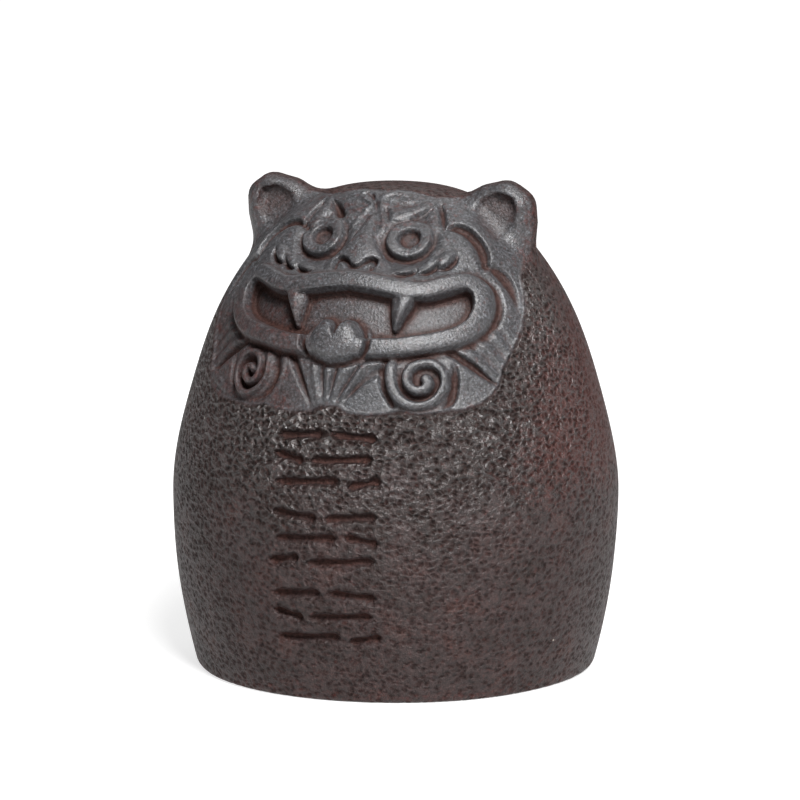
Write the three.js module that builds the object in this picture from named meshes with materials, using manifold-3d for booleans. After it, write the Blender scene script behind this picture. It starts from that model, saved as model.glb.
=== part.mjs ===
// A tiger tea pet: a bell-shaped stoneware figure, about 83 mm tall, with two round ears and a carved mask.
// Units are millimetres. +Z is up, the face looks along -Y, and the origin is the middle of the flat base.
import * as THREE from "three";
import { mergeVertices } from "three/addons/utils/BufferGeometryUtils.js";
import Module from "manifold-3d";

const wasm = await Module();
wasm.setup();

// Body: its widest ring, the crown above it and the foot below it
const BODY_RADIUS = 37.8;
const WIDEST_Z = 27.5;
const CROWN_Z = 81.9;
const CROWN_RISE = 1.66; // exponent of the height in the crown's curve
const CROWN_ROUND = 2.5; // exponent of the radius in the crown's curve
const FOOT_INSET = 3.6; // how far the foot is drawn in at the base
const FOOT_CURVE = 1.9;
const EDGE_ROUND = 0.6; // the base's rounded edge
const EDGE_HEIGHT = 2.0;
const FRONT_STEPS = 32; // facets round the front half
const BACK_STEPS = 14;
const FOOT_RINGS = 7; // up to the chin
const FACE_RINGS = 14; // from the chin to the crown
const CHIN_Z = 42;

// Face plane: a flat drawing tilted back, thrown onto the body along its normal
const FACE_Z = 58;
const FACE_TILT = THREE.MathUtils.degToRad(22);
const FACE_NORMAL = new THREE.Vector3(0, -Math.cos(FACE_TILT), Math.sin(FACE_TILT));
const FACE_UP = new THREE.Vector3(0, Math.sin(FACE_TILT), Math.cos(FACE_TILT));

// The upper face lies lower than the muzzle: a broad shallow hollow round the eyes and the nose
const HOLLOW_DEPTH = 3.0;
const HOLLOW_HALF_WIDTH = 19;
const HOLLOW_LOW = 1;
const HOLLOW_FULL = 6;
const HOLLOW_FADE = 13;
const HOLLOW_TOP = 21;

const SINK = 0.7; // how deep a raised form is rooted below the surface

const smooth = (from, to, x) => THREE.MathUtils.smoothstep(x, from, to);

// The body's radius at a height, before the face is hollowed.
function outlineRadius(z) {
  if (z < WIDEST_Z) {
    const below = (WIDEST_Z - z) / WIDEST_Z;
    const edge = Math.max(0, 1 - z / EDGE_HEIGHT);
    return BODY_RADIUS - FOOT_INSET * below ** FOOT_CURVE - EDGE_ROUND * edge ** 2;
  }
  const above = Math.min(1, (z - WIDEST_Z) / (CROWN_Z - WIDEST_Z));
  return BODY_RADIUS * (1 - above ** CROWN_RISE) ** (1 / CROWN_ROUND);
}

// How far the face is hollowed, along its normal, at (u, v) of the face plane.
function hollowAt(u, v) {
  const across = 1 - smooth(0.35 * HOLLOW_HALF_WIDTH, HOLLOW_HALF_WIDTH, Math.abs(u));
  const along = smooth(HOLLOW_LOW, HOLLOW_FULL, v) * (1 - smooth(HOLLOW_FADE, HOLLOW_TOP, v));
  return HOLLOW_DEPTH * across * along;
}

// The point of the carved body that lies over (u, v) of the face plane.
function facePoint(u, v) {
  const start = new THREE.Vector3(u, 0, FACE_Z).addScaledVector(FACE_UP, v);
  let inner = 0;
  let outer = 60;
  for (let i = 0; i < 40; i++) {
    const middle = (inner + outer) / 2;
    const p = start.clone().addScaledVector(FACE_NORMAL, middle);
    if (Math.hypot(p.x, p.y) < outlineRadius(p.z)) inner = middle;
    else outer = middle;
  }
  return start.addScaledVector(FACE_NORMAL, inner - hollowAt(u, v));
}

// That point with the surface's own normal.
function onFace(u, v) {
  const step = 0.4;
  const rightward = facePoint(u + step, v).sub(facePoint(u - step, v));
  const upward = facePoint(u, v + step).sub(facePoint(u, v - step));
  return { point: facePoint(u, v), normal: rightward.cross(upward).normalize() };
}

// Turns a closed geometry into a solid that can be joined and cut.
function solidOf(geometry) {
  const bare = new THREE.BufferGeometry().setAttribute("position", geometry.getAttribute("position"));
  if (geometry.index) bare.setIndex(geometry.index);
  const merged = mergeVertices(bare, 1e-4);
  return new wasm.Manifold(
    new wasm.Mesh({
      numProp: 3,
      vertProperties: new Float32Array(merged.attributes.position.array),
      triVerts: new Uint32Array(merged.index.array),
    }),
  );
}

// A closed skin over a grid of rings, each a list of points, with both ends filled by a fan.
function skinOf(rings) {
  const count = rings[0].length;
  const points = rings.flat();
  const centre = (ring) =>
    ring.reduce((sum, p) => sum.add(p), new THREE.Vector3()).divideScalar(ring.length);
  const first = points.push(centre(rings[0])) - 1;
  const last = points.push(centre(rings.at(-1))) - 1;
  const index = [];
  for (let r = 0; r < rings.length - 1; r++) {
    for (let i = 0; i < count; i++) {
      const a = r * count + i;
      const b = r * count + ((i + 1) % count);
      index.push(a, b, b + count, a, b + count, a + count);
    }
  }
  const top = (rings.length - 1) * count;
  for (let i = 0; i < count; i++) {
    const next = (i + 1) % count;
    index.push(first, next, i, last, top + i, top + next);
  }
  return new THREE.BufferGeometry().setFromPoints(points).setIndex(index);
}

// Heights of the body's rings, evenly spaced along its outline, closer together on the face.
function ringHeights() {
  const count = 600;
  const heights = Array.from({ length: count + 1 }, (_, i) => CROWN_Z * Math.sin((Math.PI * i) / count / 2));
  const lengths = [0];
  for (let i = 1; i <= count; i++) {
    const spread = outlineRadius(heights[i]) - outlineRadius(heights[i - 1]);
    lengths.push(lengths[i - 1] + Math.hypot(heights[i] - heights[i - 1], spread));
  }
  const heightAt = (length) => heights[lengths.findIndex((reached) => reached >= length)];
  const chin = lengths[heights.findIndex((z) => z >= CHIN_Z)];
  const crown = 0.97 * lengths[count];
  const foot = Array.from({ length: FOOT_RINGS }, (_, i) => heightAt((chin * (i + 1)) / FOOT_RINGS));
  const face = Array.from({ length: FACE_RINGS }, (_, i) => heightAt(chin + ((crown - chin) * (i + 1)) / FACE_RINGS));
  return [0, EDGE_HEIGHT / 2, ...foot, ...face];
}

// Angles round the body, closer together across the front.
function turnAngles() {
  const angles = [];
  for (let i = 0; i < FRONT_STEPS; i++) angles.push(Math.PI + (Math.PI * i) / FRONT_STEPS);
  for (let i = 0; i < BACK_STEPS; i++) angles.push((Math.PI * i) / BACK_STEPS);
  return angles;
}

function bodySolid() {
  const rings = ringHeights().map((z) =>
    turnAngles().map((angle) => {
      const p = new THREE.Vector3(Math.cos(angle), Math.sin(angle), 0);
      p.multiplyScalar(outlineRadius(z)).setZ(z);
      if (p.y > 0) return p;
      const v = p.y * FACE_UP.y + (z - FACE_Z) * FACE_UP.z;
      return p.addScaledVector(FACE_NORMAL, -hollowAt(p.x, v));
    }),
  );
  return solidOf(skinOf(rings));
}

const mirrored = (path) => path.map(([u, ...rest]) => [-u, ...rest]);

// A smooth curve through [u, v, width, height] stations of the face plane.
function stationsAlong(path, closed, count) {
  const curve = new THREE.CatmullRomCurve3(
    path.map(([u, v]) => new THREE.Vector3(u, v, 0)),
    closed,
    "centripetal",
  );
  const sizes = new THREE.CatmullRomCurve3(
    path.map(([, , width, height]) => new THREE.Vector3(width, height, 0)),
    closed,
    "centripetal",
  );
  const stations = [];
  const total = closed ? count : count - 1;
  for (let i = 0; i < count; i++) {
    const at = curve.getPoint(i / total);
    const along = curve.getTangent(i / total);
    const size = sizes.getPoint(i / total);
    stations.push({ u: at.x, v: at.y, along, width: size.x, height: size.y });
  }
  return stations;
}

// The place on the body of a station, with the directions across the ridge and out of the surface.
function seatOf({ u, v, along }) {
  const { point, normal } = onFace(u, v);
  const ahead = onFace(u + 0.2 * along.x, v + 0.2 * along.y).point.sub(point).normalize();
  return { point, normal, across: new THREE.Vector3().crossVectors(normal, ahead).normalize() };
}

// A rounded ridge along a path, raised above the surface, or a rounded groove where cut is true.
// Its section is a low arch: shares of the half width and of the height.
const ARCH = [
  [-1, 0],
  [-0.5, 0.9],
  [0.5, 0.9],
  [1, 0],
];
const PEAK = [
  [-1, 0],
  [0, 1],
  [1, 0],
];
function ridge(path, { closed = false, count = 12, cut = false, root = SINK, section = PEAK } = {}) {
  const rings = stationsAlong(path, closed, count).map((station) => {
    const { point, normal, across } = seatOf(station);
    const arch = section.map(([side, rise]) =>
      point
        .clone()
        .addScaledVector(across, (side * station.width) / 2)
        .addScaledVector(normal, (cut ? -1 : 1) * rise * station.height),
    );
    const foot = [1, -1].map((side) =>
      point
        .clone()
        .addScaledVector(across, (side * station.width) / 2)
        .addScaledVector(normal, (cut ? 1 : -1) * root),
    );
    return [...arch, ...foot];
  });
  return solidOf(closed ? ringOf(rings) : facingOut(skinOf(rings)));
}

// A skin whose last ring joins its first.
function ringOf(rings) {
  const count = rings[0].length;
  const index = [];
  rings.forEach((ring, r) => {
    const next = ((r + 1) % rings.length) * count;
    for (let i = 0; i < count; i++) {
      const a = r * count + i;
      const b = r * count + ((i + 1) % count);
      const c = next + ((i + 1) % count);
      index.push(a, b, c, a, c, next + i);
    }
  });
  return facingOut(new THREE.BufferGeometry().setFromPoints(rings.flat()).setIndex(index));
}

// Turns the faces round if they enclose a negative volume.
function facingOut(geometry) {
  const p = geometry.getAttribute("position");
  const index = Array.from(geometry.index.array);
  const corner = (i) => new THREE.Vector3().fromBufferAttribute(p, i);
  let volume = 0;
  for (let i = 0; i < index.length; i += 3)
    volume += corner(index[i]).dot(corner(index[i + 1]).cross(corner(index[i + 2])));
  if (volume < 0)
    for (let i = 0; i < index.length; i += 3)
      [index[i + 1], index[i + 2]] = [index[i + 2], index[i + 1]];
  return geometry.setIndex(index);
}

// A plate over an outline of the face plane, from one height above the surface to another.
function plate(points2d, low, high) {
  const clockwise = THREE.ShapeUtils.isClockWise(points2d.map(([x, y]) => ({ x, y })));
  const outline = clockwise ? [...points2d].reverse() : points2d;
  const flat = outline.map(([u, v]) => new THREE.Vector2(u, v));
  const seats = outline.map(([u, v]) => onFace(u, v));
  const level = (height) =>
    seats.map(({ point, normal }) => point.clone().addScaledVector(normal, height));
  const count = outline.length;
  const index = [];
  for (const [a, b, c] of THREE.ShapeUtils.triangulateShape(flat, []))
    index.push(a, b, c, count + a, count + c, count + b);
  for (let i = 0; i < count; i++) {
    const next = (i + 1) % count;
    index.push(i, count + i, count + next, i, count + next, next);
  }
  const points = [...level(low), ...level(high)];
  return solidOf(facingOut(new THREE.BufferGeometry().setFromPoints(points).setIndex(index)));
}

// A smooth closed outline through a few points of the face plane.
function outlineThrough(points, count) {
  const curve = new THREE.CatmullRomCurve3(
    points.map(([u, v]) => new THREE.Vector3(u, v, 0)),
    true,
    "centripetal",
  );
  return Array.from({ length: count }, (_, i) => {
    const p = curve.getPoint(i / count);
    return [p.x, p.y];
  });
}

// A rounded mound: half lengths along and across its own direction, and its height.
function mound(u, v, along, across, height, turn = 0, sides = 12, bands = 8) {
  const { point, normal } = onFace(u, v);
  const direction = new THREE.Vector3(Math.cos(turn), Math.sin(turn), 0);
  const ahead = onFace(u + 0.2 * direction.x, v + 0.2 * direction.y).point.sub(point).normalize();
  const side = new THREE.Vector3().crossVectors(normal, ahead).normalize();
  const front = new THREE.Vector3().crossVectors(side, normal);
  const frame = new THREE.Matrix4().makeBasis(front, side, normal).setPosition(point);
  const ball = new THREE.SphereGeometry(1, sides, bands).scale(along, across, height);
  return solidOf(ball.applyMatrix4(frame));
}

// Mouth: the lip's middle line on one side, as [u, v, width, height], from under the nose to the chin
const LIP_HALF = [
  [0, 0.95, 2.5, 1.5],
  [4.7, 0.4, 2.7, 1.5],
  [8.9, -0.4, 3.0, 1.6],
  [12.0, 0.2, 3.0, 1.6],
  [15.0, 1.7, 2.9, 1.6],
  [17.9, 2.75, 2.8, 1.5],
  [20.1, 1.9, 2.8, 1.5],
  [21.1, -0.9, 3.0, 1.5],
  [20.6, -3.8, 3.1, 1.5],
  [18.4, -6.5, 3.0, 1.6],
  [14.4, -8.9, 2.9, 1.7],
  [9.8, -10.3, 2.9, 1.7],
  [5.0, -10.8, 2.8, 1.7],
  [0, -11, 2.8, 1.7],
];
const MOUTH_DEPTH = 1.7;
const MOUTH_STEPS = 18;
const TONGUE = { lobe: [2.5, -9.7], radius: 2.7, tip: [0, -12.7], tipRadius: 1.3, height: 2.4 };
const FANG = { root: [[7.8, -1.5], [11.2, -1.3]], tip: [8.5, -7.8], crest: 0.5, point: 0.8 };

// Eyes: a raised ring round a sunk pupil, in a sunk socket
const EYE = { centre: [7.4, 9.7], ring: 3.35, pupil: 1.8, socket: 4.35 };
const SOCKET_DEPTH = 0.9;
const EYE_RISE = 0.9;

// Nose: from the bridge between the eyes to the wings above the lip, one side of its outline
const NOSE_SIDE = [
  [0.9, 13.6],
  [1.5, 11.4],
  [2.3, 9.0],
  [4.2, 6.6],
  [5.9, 4.9],
  [6.0, 3.4],
  [4.6, 2.4],
  [2.4, 2.2],
];
const NOSE_RISE = 1.2;
const NOSTRIL_SIDE = [
  [0, 3.5, 0.9, 1.1],
  [1.1, 4.0, 0.9, 1.1],
  [2.0, 4.9, 1.0, 1.2],
  [2.9, 4.6, 0.9, 1.1],
  [3.1, 3.4, 0.8, 0.9],
];

// Brows: a rounded curl beside the middle line and a flame that runs up to a point
const BROW_CURL = [
  [0.9, 13.8, 0.9, 0.8],
  [0.8, 16.2, 1.2, 1.1],
  [2.2, 18.2, 1.3, 1.1],
  [4.2, 18.3, 1.2, 0.9],
];
const BROW_FLAME = [
  [2.6, 14.6, 0.9, 0.7],
  [4.8, 14.6, 1.5, 1.2],
  [7.2, 15.4, 1.9, 1.4],
  [9.8, 17.0, 1.0, 0.7],
];
const BROW_FOLD = [
  [10.4, 16.9, 0.8, 0.8],
  [11.5, 15.0, 1.1, 1.0],
  [12.4, 12.9, 1.0, 1.0],
  [12.8, 11.5, 0.7, 0.8],
];

// Whisker marks: [u, v, half length, half width, turn in degrees]
const WHISKERS = [
  [7.9, 3.5, 1.4, 0.65, 25],
  [11.0, 4.3, 1.4, 0.6, 62],
  [13.6, 5.9, 1.9, 0.75, 75],
];
const WHISKER_RISE = 0.8;

// Mane: two stepped locks, one below the other, cut as tapering grooves
const MANE_UPPER = [
  [13.2, 11.9, 0.7, 0.7],
  [14.6, 12.4, 1.1, 1.1],
  [16.8, 11.0, 1.3, 1.2],
  [18.4, 8.7, 1.2, 1.1],
  [19.5, 6.0, 0.7, 0.7],
];
const MANE_LOWER = [
  [19.9, 6.2, 0.8, 0.7],
  [22.0, 5.2, 1.2, 1.0],
  [24.0, 2.6, 1.2, 0.9],
  [25.4, -0.8, 0.9, 0.6],
];

// Beard: the curl's centre, its turns, and the radius of its middle line from the tip outwards
const CURL = { centre: [14.65, -15.35], tip: 0.75, start: 60, turn: 660, width: 1.5, height: 0.9 };
const CURL_REACH = [0.75, 1.15, 1.8, 2.7, 3.4, 3.7, 4.3, 5.6];
const PETALS = [
  [[6.6, -13.4], [4.2, -14.8], [2.4, -18.4], [2.0, -20.6], [4.0, -22.2], [9.2, -21.8], [8.0, -19.0], [7.4, -15.6]],
  [[19.4, -11.4], [21.6, -12.2], [24.3, -14.0], [23.4, -16.4], [20.8, -18.4], [18.9, -18.9], [19.4, -15.4]],
];
const PETAL_DEPTH = 0.7;
// Locks of the beard: [u, v] at the root and at the tip, with the width at each
const LOCKS = [
  [[0.9, -14.2], [0.5, -20.8], 1.4, 0.6],
  [[4.4, -13.6], [1.7, -19.9], 1.4, 0.7],
  [[18.6, -9.3], [24.9, -13.1], 1.9, 0.8],
  [[20.9, -7.1], [25.8, -10.2], 1.7, 0.7],
];
const LOCK_RISE = 0.7;

// The mouth is sunk inside the lip's middle line, to a floor that follows the body's roundness.
function mouthPocket() {
  const half = LIP_HALF.map(([u, v]) => [u, v]);
  const edge = outlineThrough([...half, ...mirrored(half).reverse().slice(1, -1)], 400);
  const reach = Math.max(...edge.map(([u]) => u)) - 0.25;
  const rings = [];
  for (let i = 0; i <= MOUTH_STEPS; i++) {
    const u = -reach * Math.cos((Math.PI * i) / MOUTH_STEPS);
    const beside = edge.filter(([across]) => Math.abs(across - u) < 0.3).map(([, v]) => v);
    const low = Math.min(...beside);
    const high = Math.max(...beside);
    const row = [low, (low + high) / 2, high].map((v) => onFace(u, v));
    const level = (height) => row.map(({ point, normal }) => point.clone().addScaledVector(normal, height));
    rings.push([...level(-MOUTH_DEPTH), ...level(3).reverse()]);
  }
  return solidOf(facingOut(skinOf(rings)));
}

function lipRing() {
  const whole = [...LIP_HALF, ...mirrored(LIP_HALF).reverse().slice(1, -1)];
  return ridge(whole, { closed: true, count: 40, root: MOUTH_DEPTH + 0.4, section: ARCH });
}

// The tongue is a heart: each half is stretched from a round lobe to the shared tip.
function tongueHalf(side) {
  const { lobe, radius, tip, tipRadius, height } = TONGUE;
  return wasm.Manifold.hull([
    mound(side * lobe[0], lobe[1], radius, radius, height, 0, 12, 8),
    mound(tip[0], tip[1], tipRadius, tipRadius, height * 0.8, 0, 8, 6),
  ]);
}

function fang(side) {
  const roots = FANG.root.map(([u, v]) => onFace(side * u, v));
  const tip = onFace(side * FANG.tip[0], FANG.tip[1]);
  const lift = ({ point, normal }, height) => point.clone().addScaledVector(normal, height);
  const middle = { point: roots[0].point.clone().lerp(roots[1].point, 0.35), normal: roots[0].normal };
  const deep = -MOUTH_DEPTH - 0.4;
  const points = [
    lift(roots[0], deep),
    lift(roots[1], deep),
    lift(tip, deep),
    lift(middle, FANG.crest),
    lift(tip, deep + FANG.point),
  ];
  const index = [0, 2, 1, 0, 1, 3, 1, 2, 4, 1, 4, 3, 2, 0, 3, 2, 3, 4];
  return solidOf(facingOut(new THREE.BufferGeometry().setFromPoints(points).setIndex(index)));
}

function noseSolid() {
  const outline = [...NOSE_SIDE, ...mirrored(NOSE_SIDE).reverse()];
  return plate(outline, -SINK, NOSE_RISE);
}

function nostrilCut() {
  return ridge([...mirrored(NOSTRIL_SIDE).reverse(), ...NOSTRIL_SIDE.slice(1)], {
    count: 14,
    cut: true,
    root: NOSE_RISE + 1,
  }).translate(FACE_NORMAL.clone().multiplyScalar(NOSE_RISE).toArray());
}

// A turned form standing on the face, given by its profile of [radius, height] points.
function turnedOnFace([u, v], profile, sides) {
  const { point, normal } = onFace(u, v);
  const turn = new THREE.Quaternion().setFromUnitVectors(new THREE.Vector3(0, 1, 0), normal);
  const lathe = new THREE.LatheGeometry(
    profile.map(([radius, height]) => new THREE.Vector2(radius, height)),
    sides,
  );
  return solidOf(facingOut(mergeVertices(stripped(lathe), 1e-4).applyQuaternion(turn).translate(...point.toArray())));
}

function stripped(geometry) {
  geometry.deleteAttribute("normal");
  geometry.deleteAttribute("uv");
  return geometry;
}

function eyeBall(side) {
  const { ring, pupil } = EYE;
  const profile = [
    [0, -SINK - SOCKET_DEPTH],
    [ring + 0.2, -SINK - SOCKET_DEPTH],
    [ring + 0.1, 0.1],
    [ring - 0.5, EYE_RISE],
    [pupil + 0.2, EYE_RISE],
    [pupil - 0.2, EYE_RISE - 1.1],
    [0, EYE_RISE - 0.9],
  ];
  return turnedOnFace([side * EYE.centre[0], EYE.centre[1]], profile, 16);
}

function eyeSocket(side) {
  const profile = [
    [0, -SOCKET_DEPTH],
    [EYE.ring, -SOCKET_DEPTH],
    [EYE.socket, 0.2],
    [EYE.socket, 3],
    [0, 3],
  ];
  return turnedOnFace([side * EYE.centre[0], EYE.centre[1]], profile, 16);
}

function beardCurl(side) {
  const stations = 24;
  const path = Array.from({ length: stations }, (_, i) => {
    const share = i / (stations - 1);
    const angle = THREE.MathUtils.degToRad(CURL.start - CURL.turn * share);
    const place = share * (CURL_REACH.length - 1);
    const k = Math.min(CURL_REACH.length - 2, Math.floor(place));
    const radius = THREE.MathUtils.lerp(CURL_REACH[k], CURL_REACH[k + 1], place - k);
    return [
      side * (CURL.centre[0] + radius * Math.cos(angle)),
      CURL.centre[1] + radius * Math.sin(angle),
      CURL.width,
      CURL.height,
    ];
  });
  return ridge(path, { count: 28, root: PETAL_DEPTH + 0.4 });
}

function lock([root, tip, wide, narrow], side) {
  const at = (share, width, height) => [
    side * THREE.MathUtils.lerp(root[0], tip[0], share),
    THREE.MathUtils.lerp(root[1], tip[1], share),
    width,
    height,
  ];
  const path = [at(0, wide, LOCK_RISE), at(0.5, (wide + narrow) / 2, LOCK_RISE), at(1, narrow, LOCK_RISE / 2)];
  return ridge(path, { count: 3, root: PETAL_DEPTH + 0.4 });
}

// Ears: the skin stretched over a few balls, [x, y, z, radius], for the lobe and for its hollow
const EAR_LOBE = [
  [20.9, -1.0, 79.6, 3.6],
  [22.0, -1.0, 76.6, 3.7],
  [21.2, -0.6, 70.4, 3.6],
  [13.2, -0.8, 76.8, 3.6],
];
const EAR_HOLLOW = [
  [20.6, -5.4, 79.2, 2.2],
  [17.4, -5.4, 78.9, 2.2],
  [19.4, -6.0, 75.4, 1.9],
];

function skinOver(balls, side, sides, bands) {
  return wasm.Manifold.hull(
    balls.map(([x, y, z, radius]) => {
      const ball = new THREE.SphereGeometry(radius, sides, bands).rotateX(Math.PI / 2);
      return solidOf(ball.translate(side * x, y, z));
    }),
  );
}

const earLobe = (side) => skinOver(EAR_LOBE, side, 14, 8);
const earHollow = (side) => skinOver(EAR_HOLLOW, side, 12, 6);

// Inscription: three blocks of shallow strokes down the front, in rows that spell nothing
const STROKE_DEPTH = 0.7;
const BLOCK_TOPS = [44.6, 31.4, 18.4];
const ROW_PITCH = 3.5;
// Each row lists its strokes as [middle x, length, rise from end to end]
const STROKE_ROWS = [
  [[-4.4, 6.2, 0.5], [4.2, 6.6, -0.5]],
  [[-5.4, 4.6, -0.9], [2.8, 8.2, 0.5]],
  [[-2.6, 8.8, 0.6], [5.6, 4.4, 0.9]],
];

function strokeCut(x, z, length, rise) {
  const rings = [-0.5, 0.1, 0.5].map((share, k) => {
    const half = [0.25, 0.65, 0.35][k];
    const angle = (x + share * length) / BODY_RADIUS;
    const height = z + share * rise;
    const radius = outlineRadius(height);
    const out = new THREE.Vector3(Math.sin(angle), -Math.cos(angle), 0);
    const at = (away, up) => out.clone().multiplyScalar(radius + away).setZ(height + up);
    return [at(-STROKE_DEPTH * half * 1.6, 0), at(0.4, -half), at(0.4, half)];
  });
  return solidOf(facingOut(skinOf(rings)));
}

function strokeCuts() {
  return BLOCK_TOPS.flatMap((top, block) =>
    STROKE_ROWS.flatMap((row, i) =>
      row.map(([x, length, rise]) => strokeCut(block % 2 ? -x : x, top - i * ROW_PITCH, length, rise)),
    ),
  );
}

const both = (make) => [make(-1), make(1)];
const join = (solids) => wasm.Manifold.union(solids);

function tigerSolid() {
  const grooves = [MANE_UPPER, MANE_LOWER, BROW_FOLD].flatMap((path) => [
    ridge(path, { count: 7, cut: true, root: 1.5 }),
    ridge(mirrored(path), { count: 7, cut: true, root: 1.5 }),
  ]);
  const pockets = [
    mouthPocket(),
    ...both(eyeSocket),
    ...PETALS.flatMap((petal) => [plate(petal, -PETAL_DEPTH, 3), plate(mirrored(petal), -PETAL_DEPTH, 3)]),
    ...grooves,
  ];
  const brows = [BROW_CURL, BROW_FLAME].flatMap((path) => [
    ridge(path, { count: 8 }),
    ridge(mirrored(path), { count: 8 }),
  ]);
  const whiskers = WHISKERS.flatMap(([u, v, along, across, turn]) => {
    const angle = THREE.MathUtils.degToRad(turn);
    return [
      mound(u, v, along, across, WHISKER_RISE, angle, 8, 4),
      mound(-u, v, along, across, WHISKER_RISE, Math.PI - angle, 8, 4),
    ];
  });
  const raised = [
    lipRing(),
    ...both(tongueHalf),
    ...both(fang),
    ...both(eyeBall),
    noseSolid().subtract(nostrilCut()),
    ...brows,
    ...whiskers,
    ...both(beardCurl),
    ...LOCKS.flatMap((shape) => both((side) => lock(shape, side))),
  ];
  const head = bodySolid().add(join(both(earLobe))).subtract(join(both(earHollow)));
  const carved = head.subtract(join(pockets)).subtract(join(strokeCuts()));
  return carved.add(join(raised));
}

function geometryOf(solid) {
  const mesh = solid.getMesh();
  return new THREE.BufferGeometry()
    .setAttribute("position", new THREE.BufferAttribute(new Float32Array(mesh.vertProperties), 3))
    .setIndex(new THREE.BufferAttribute(new Uint32Array(mesh.triVerts), 1));
}

const stoneware = new THREE.MeshStandardMaterial({ color: 0x3b3230, roughness: 0.62, metalness: 0.0 });

const tiger = new THREE.Mesh(geometryOf(tigerSolid()), stoneware);
tiger.name = "tiger_tea_pet";

const part = new THREE.Group();
part.add(tiger);
export default part;
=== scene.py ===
"""A tiger tea pet of dark fired clay, about 83 mm tall, on a plain pale table.

The figure is one surface: the skin of a bell-shaped body with two ears, thrown into relief by a drawing
of the face. Lengths are millimetres until a mesh is made. +Z is up and the face looks along -Y.
"""

import bpy
import numpy as np
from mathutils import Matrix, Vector


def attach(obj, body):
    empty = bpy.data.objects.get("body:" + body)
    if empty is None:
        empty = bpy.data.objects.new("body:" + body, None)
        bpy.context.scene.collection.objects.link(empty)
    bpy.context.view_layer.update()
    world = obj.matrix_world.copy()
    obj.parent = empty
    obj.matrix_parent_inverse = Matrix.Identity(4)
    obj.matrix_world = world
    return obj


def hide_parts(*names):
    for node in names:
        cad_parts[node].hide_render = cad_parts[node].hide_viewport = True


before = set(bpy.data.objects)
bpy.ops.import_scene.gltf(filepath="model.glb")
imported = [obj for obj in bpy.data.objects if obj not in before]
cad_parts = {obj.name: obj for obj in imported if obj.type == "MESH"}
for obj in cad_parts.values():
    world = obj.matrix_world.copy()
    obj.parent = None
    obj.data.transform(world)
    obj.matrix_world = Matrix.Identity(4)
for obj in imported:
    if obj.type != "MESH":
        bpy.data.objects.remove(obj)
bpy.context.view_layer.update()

MM = 0.001

# Body: its widest ring, the crown above it and the foot below it
BODY_RADIUS = 37.75
WIDEST_Z = 28.8
CROWN_Z = 81.8
CROWN_RISE = 1.42
CROWN_ROUND = 2.62
CROWN_EASE = 3.0
FOOT_INSET = 3.84
BASE_ROUND = 1.0

# The hand left the body a tenth of a millimetre uneven: heights and waves to the millimetre
UNEVEN_HEIGHTS = (0.10, 0.06)
UNEVEN_WAVES = ((0.19, 0.16), (0.31, 0.23))

# Ears: corners of a plate in x and z, grown round by a radius, the left one's lean to each millimetre
# of rise, and the corners, radius, place and slope of the plate that hollows their fronts
EAR_CORNERS = [(13.4, 76.2), (17.0, 78.6), (19.8, 79.3), (21.3, 78.3), (21.5, 76.0), (20.9, 70.0)]
EAR_RADIUS = 3.6
EAR_Y = -1.0
EAR_ROOT = 2.4
LEFT_EAR_LEAN = 0.12
LEFT_EAR_FOOT_Z = 71.0
HOLLOW_CORNERS = [(17.4, 78.6), (18.8, 79.2), (20.3, 78.9), (20.7, 77.6), (20.6, 76.0), (20.3, 75.3)]
HOLLOW_RADIUS = 1.8
HOLLOW_PLACE = (14.9, 78.4, -5.6)
HOLLOW_SLOPE = (0.12, 0.42)
HOLLOW_EDGE = 0.7

# Face plane: a drawing tilted back, thrown onto the body along its normal. The relief stands out partly
# along that normal, by the share PRESSED_STRAIGHT, and partly along the skin's own
FACE_Z = 58.0
FACE_TILT = np.radians(22)
FACE_NORMAL = np.array([0, -np.cos(FACE_TILT), np.sin(FACE_TILT)])
PRESSED_STRAIGHT = 0.75

# The drawings are laid on what lies in front of this y
DRAWN_IN_FRONT_OF = 3.0

# The upper face lies lower than the muzzle: depth, half width, and the heights and the distance from
# the lip over which it sinks
DIP_DEPTH = 3.0
DIP_HALF_WIDTH = 19.0
DIP_LOW = (0.8, 4.6)
DIP_HIGH = (13.0, 21.0)
DIP_FROM_LIP = (0.9, 2.6)


def soft_min(a, b, round_over):
    """The smaller of two values, with the corner between them rounded over."""
    share = np.clip(0.5 + 0.5 * (b - a) / round_over, 0, 1)
    return b + (a - b) * share - round_over * share * (1 - share)


def soft_max(a, b, round_over):
    """The larger of two values, with the corner between them rounded over."""
    return -soft_min(-a, -b, round_over)


def ease(low, high, x):
    """0 at low, 1 at high, and 3t^2 - 2t^3 between. Low may be the larger one."""
    t = np.clip((x - low) / (high - low), 0, 1)
    return t * t * (3 - 2 * t)


def polygon_distance(x, y, corners):
    """The least of the distances to a polygon's sides, below 0 inside it.

    A point is inside where a ray from it crosses the sides an odd number of times."""
    corners = np.asarray(corners, float)
    nearest = np.full(x.shape, 1e9)
    inside = np.zeros(x.shape, bool)
    for (ax, ay), (bx, by) in zip(corners, np.roll(corners, -1, axis=0)):
        length = (bx - ax) ** 2 + (by - ay) ** 2
        share = np.clip(((x - ax) * (bx - ax) + (y - ay) * (by - ay)) / length, 0, 1)
        off_x, off_y = x - ax - share * (bx - ax), y - ay - share * (by - ay)
        nearest = np.minimum(nearest, off_x**2 + off_y**2)
        crosses = (ay > y) != (by > y)
        inside ^= crosses & (x < ax + (bx - ax) * (y - ay) / (by - ay if by != ay else 1))
    return np.where(inside, -1, 1) * np.sqrt(nearest)


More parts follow.
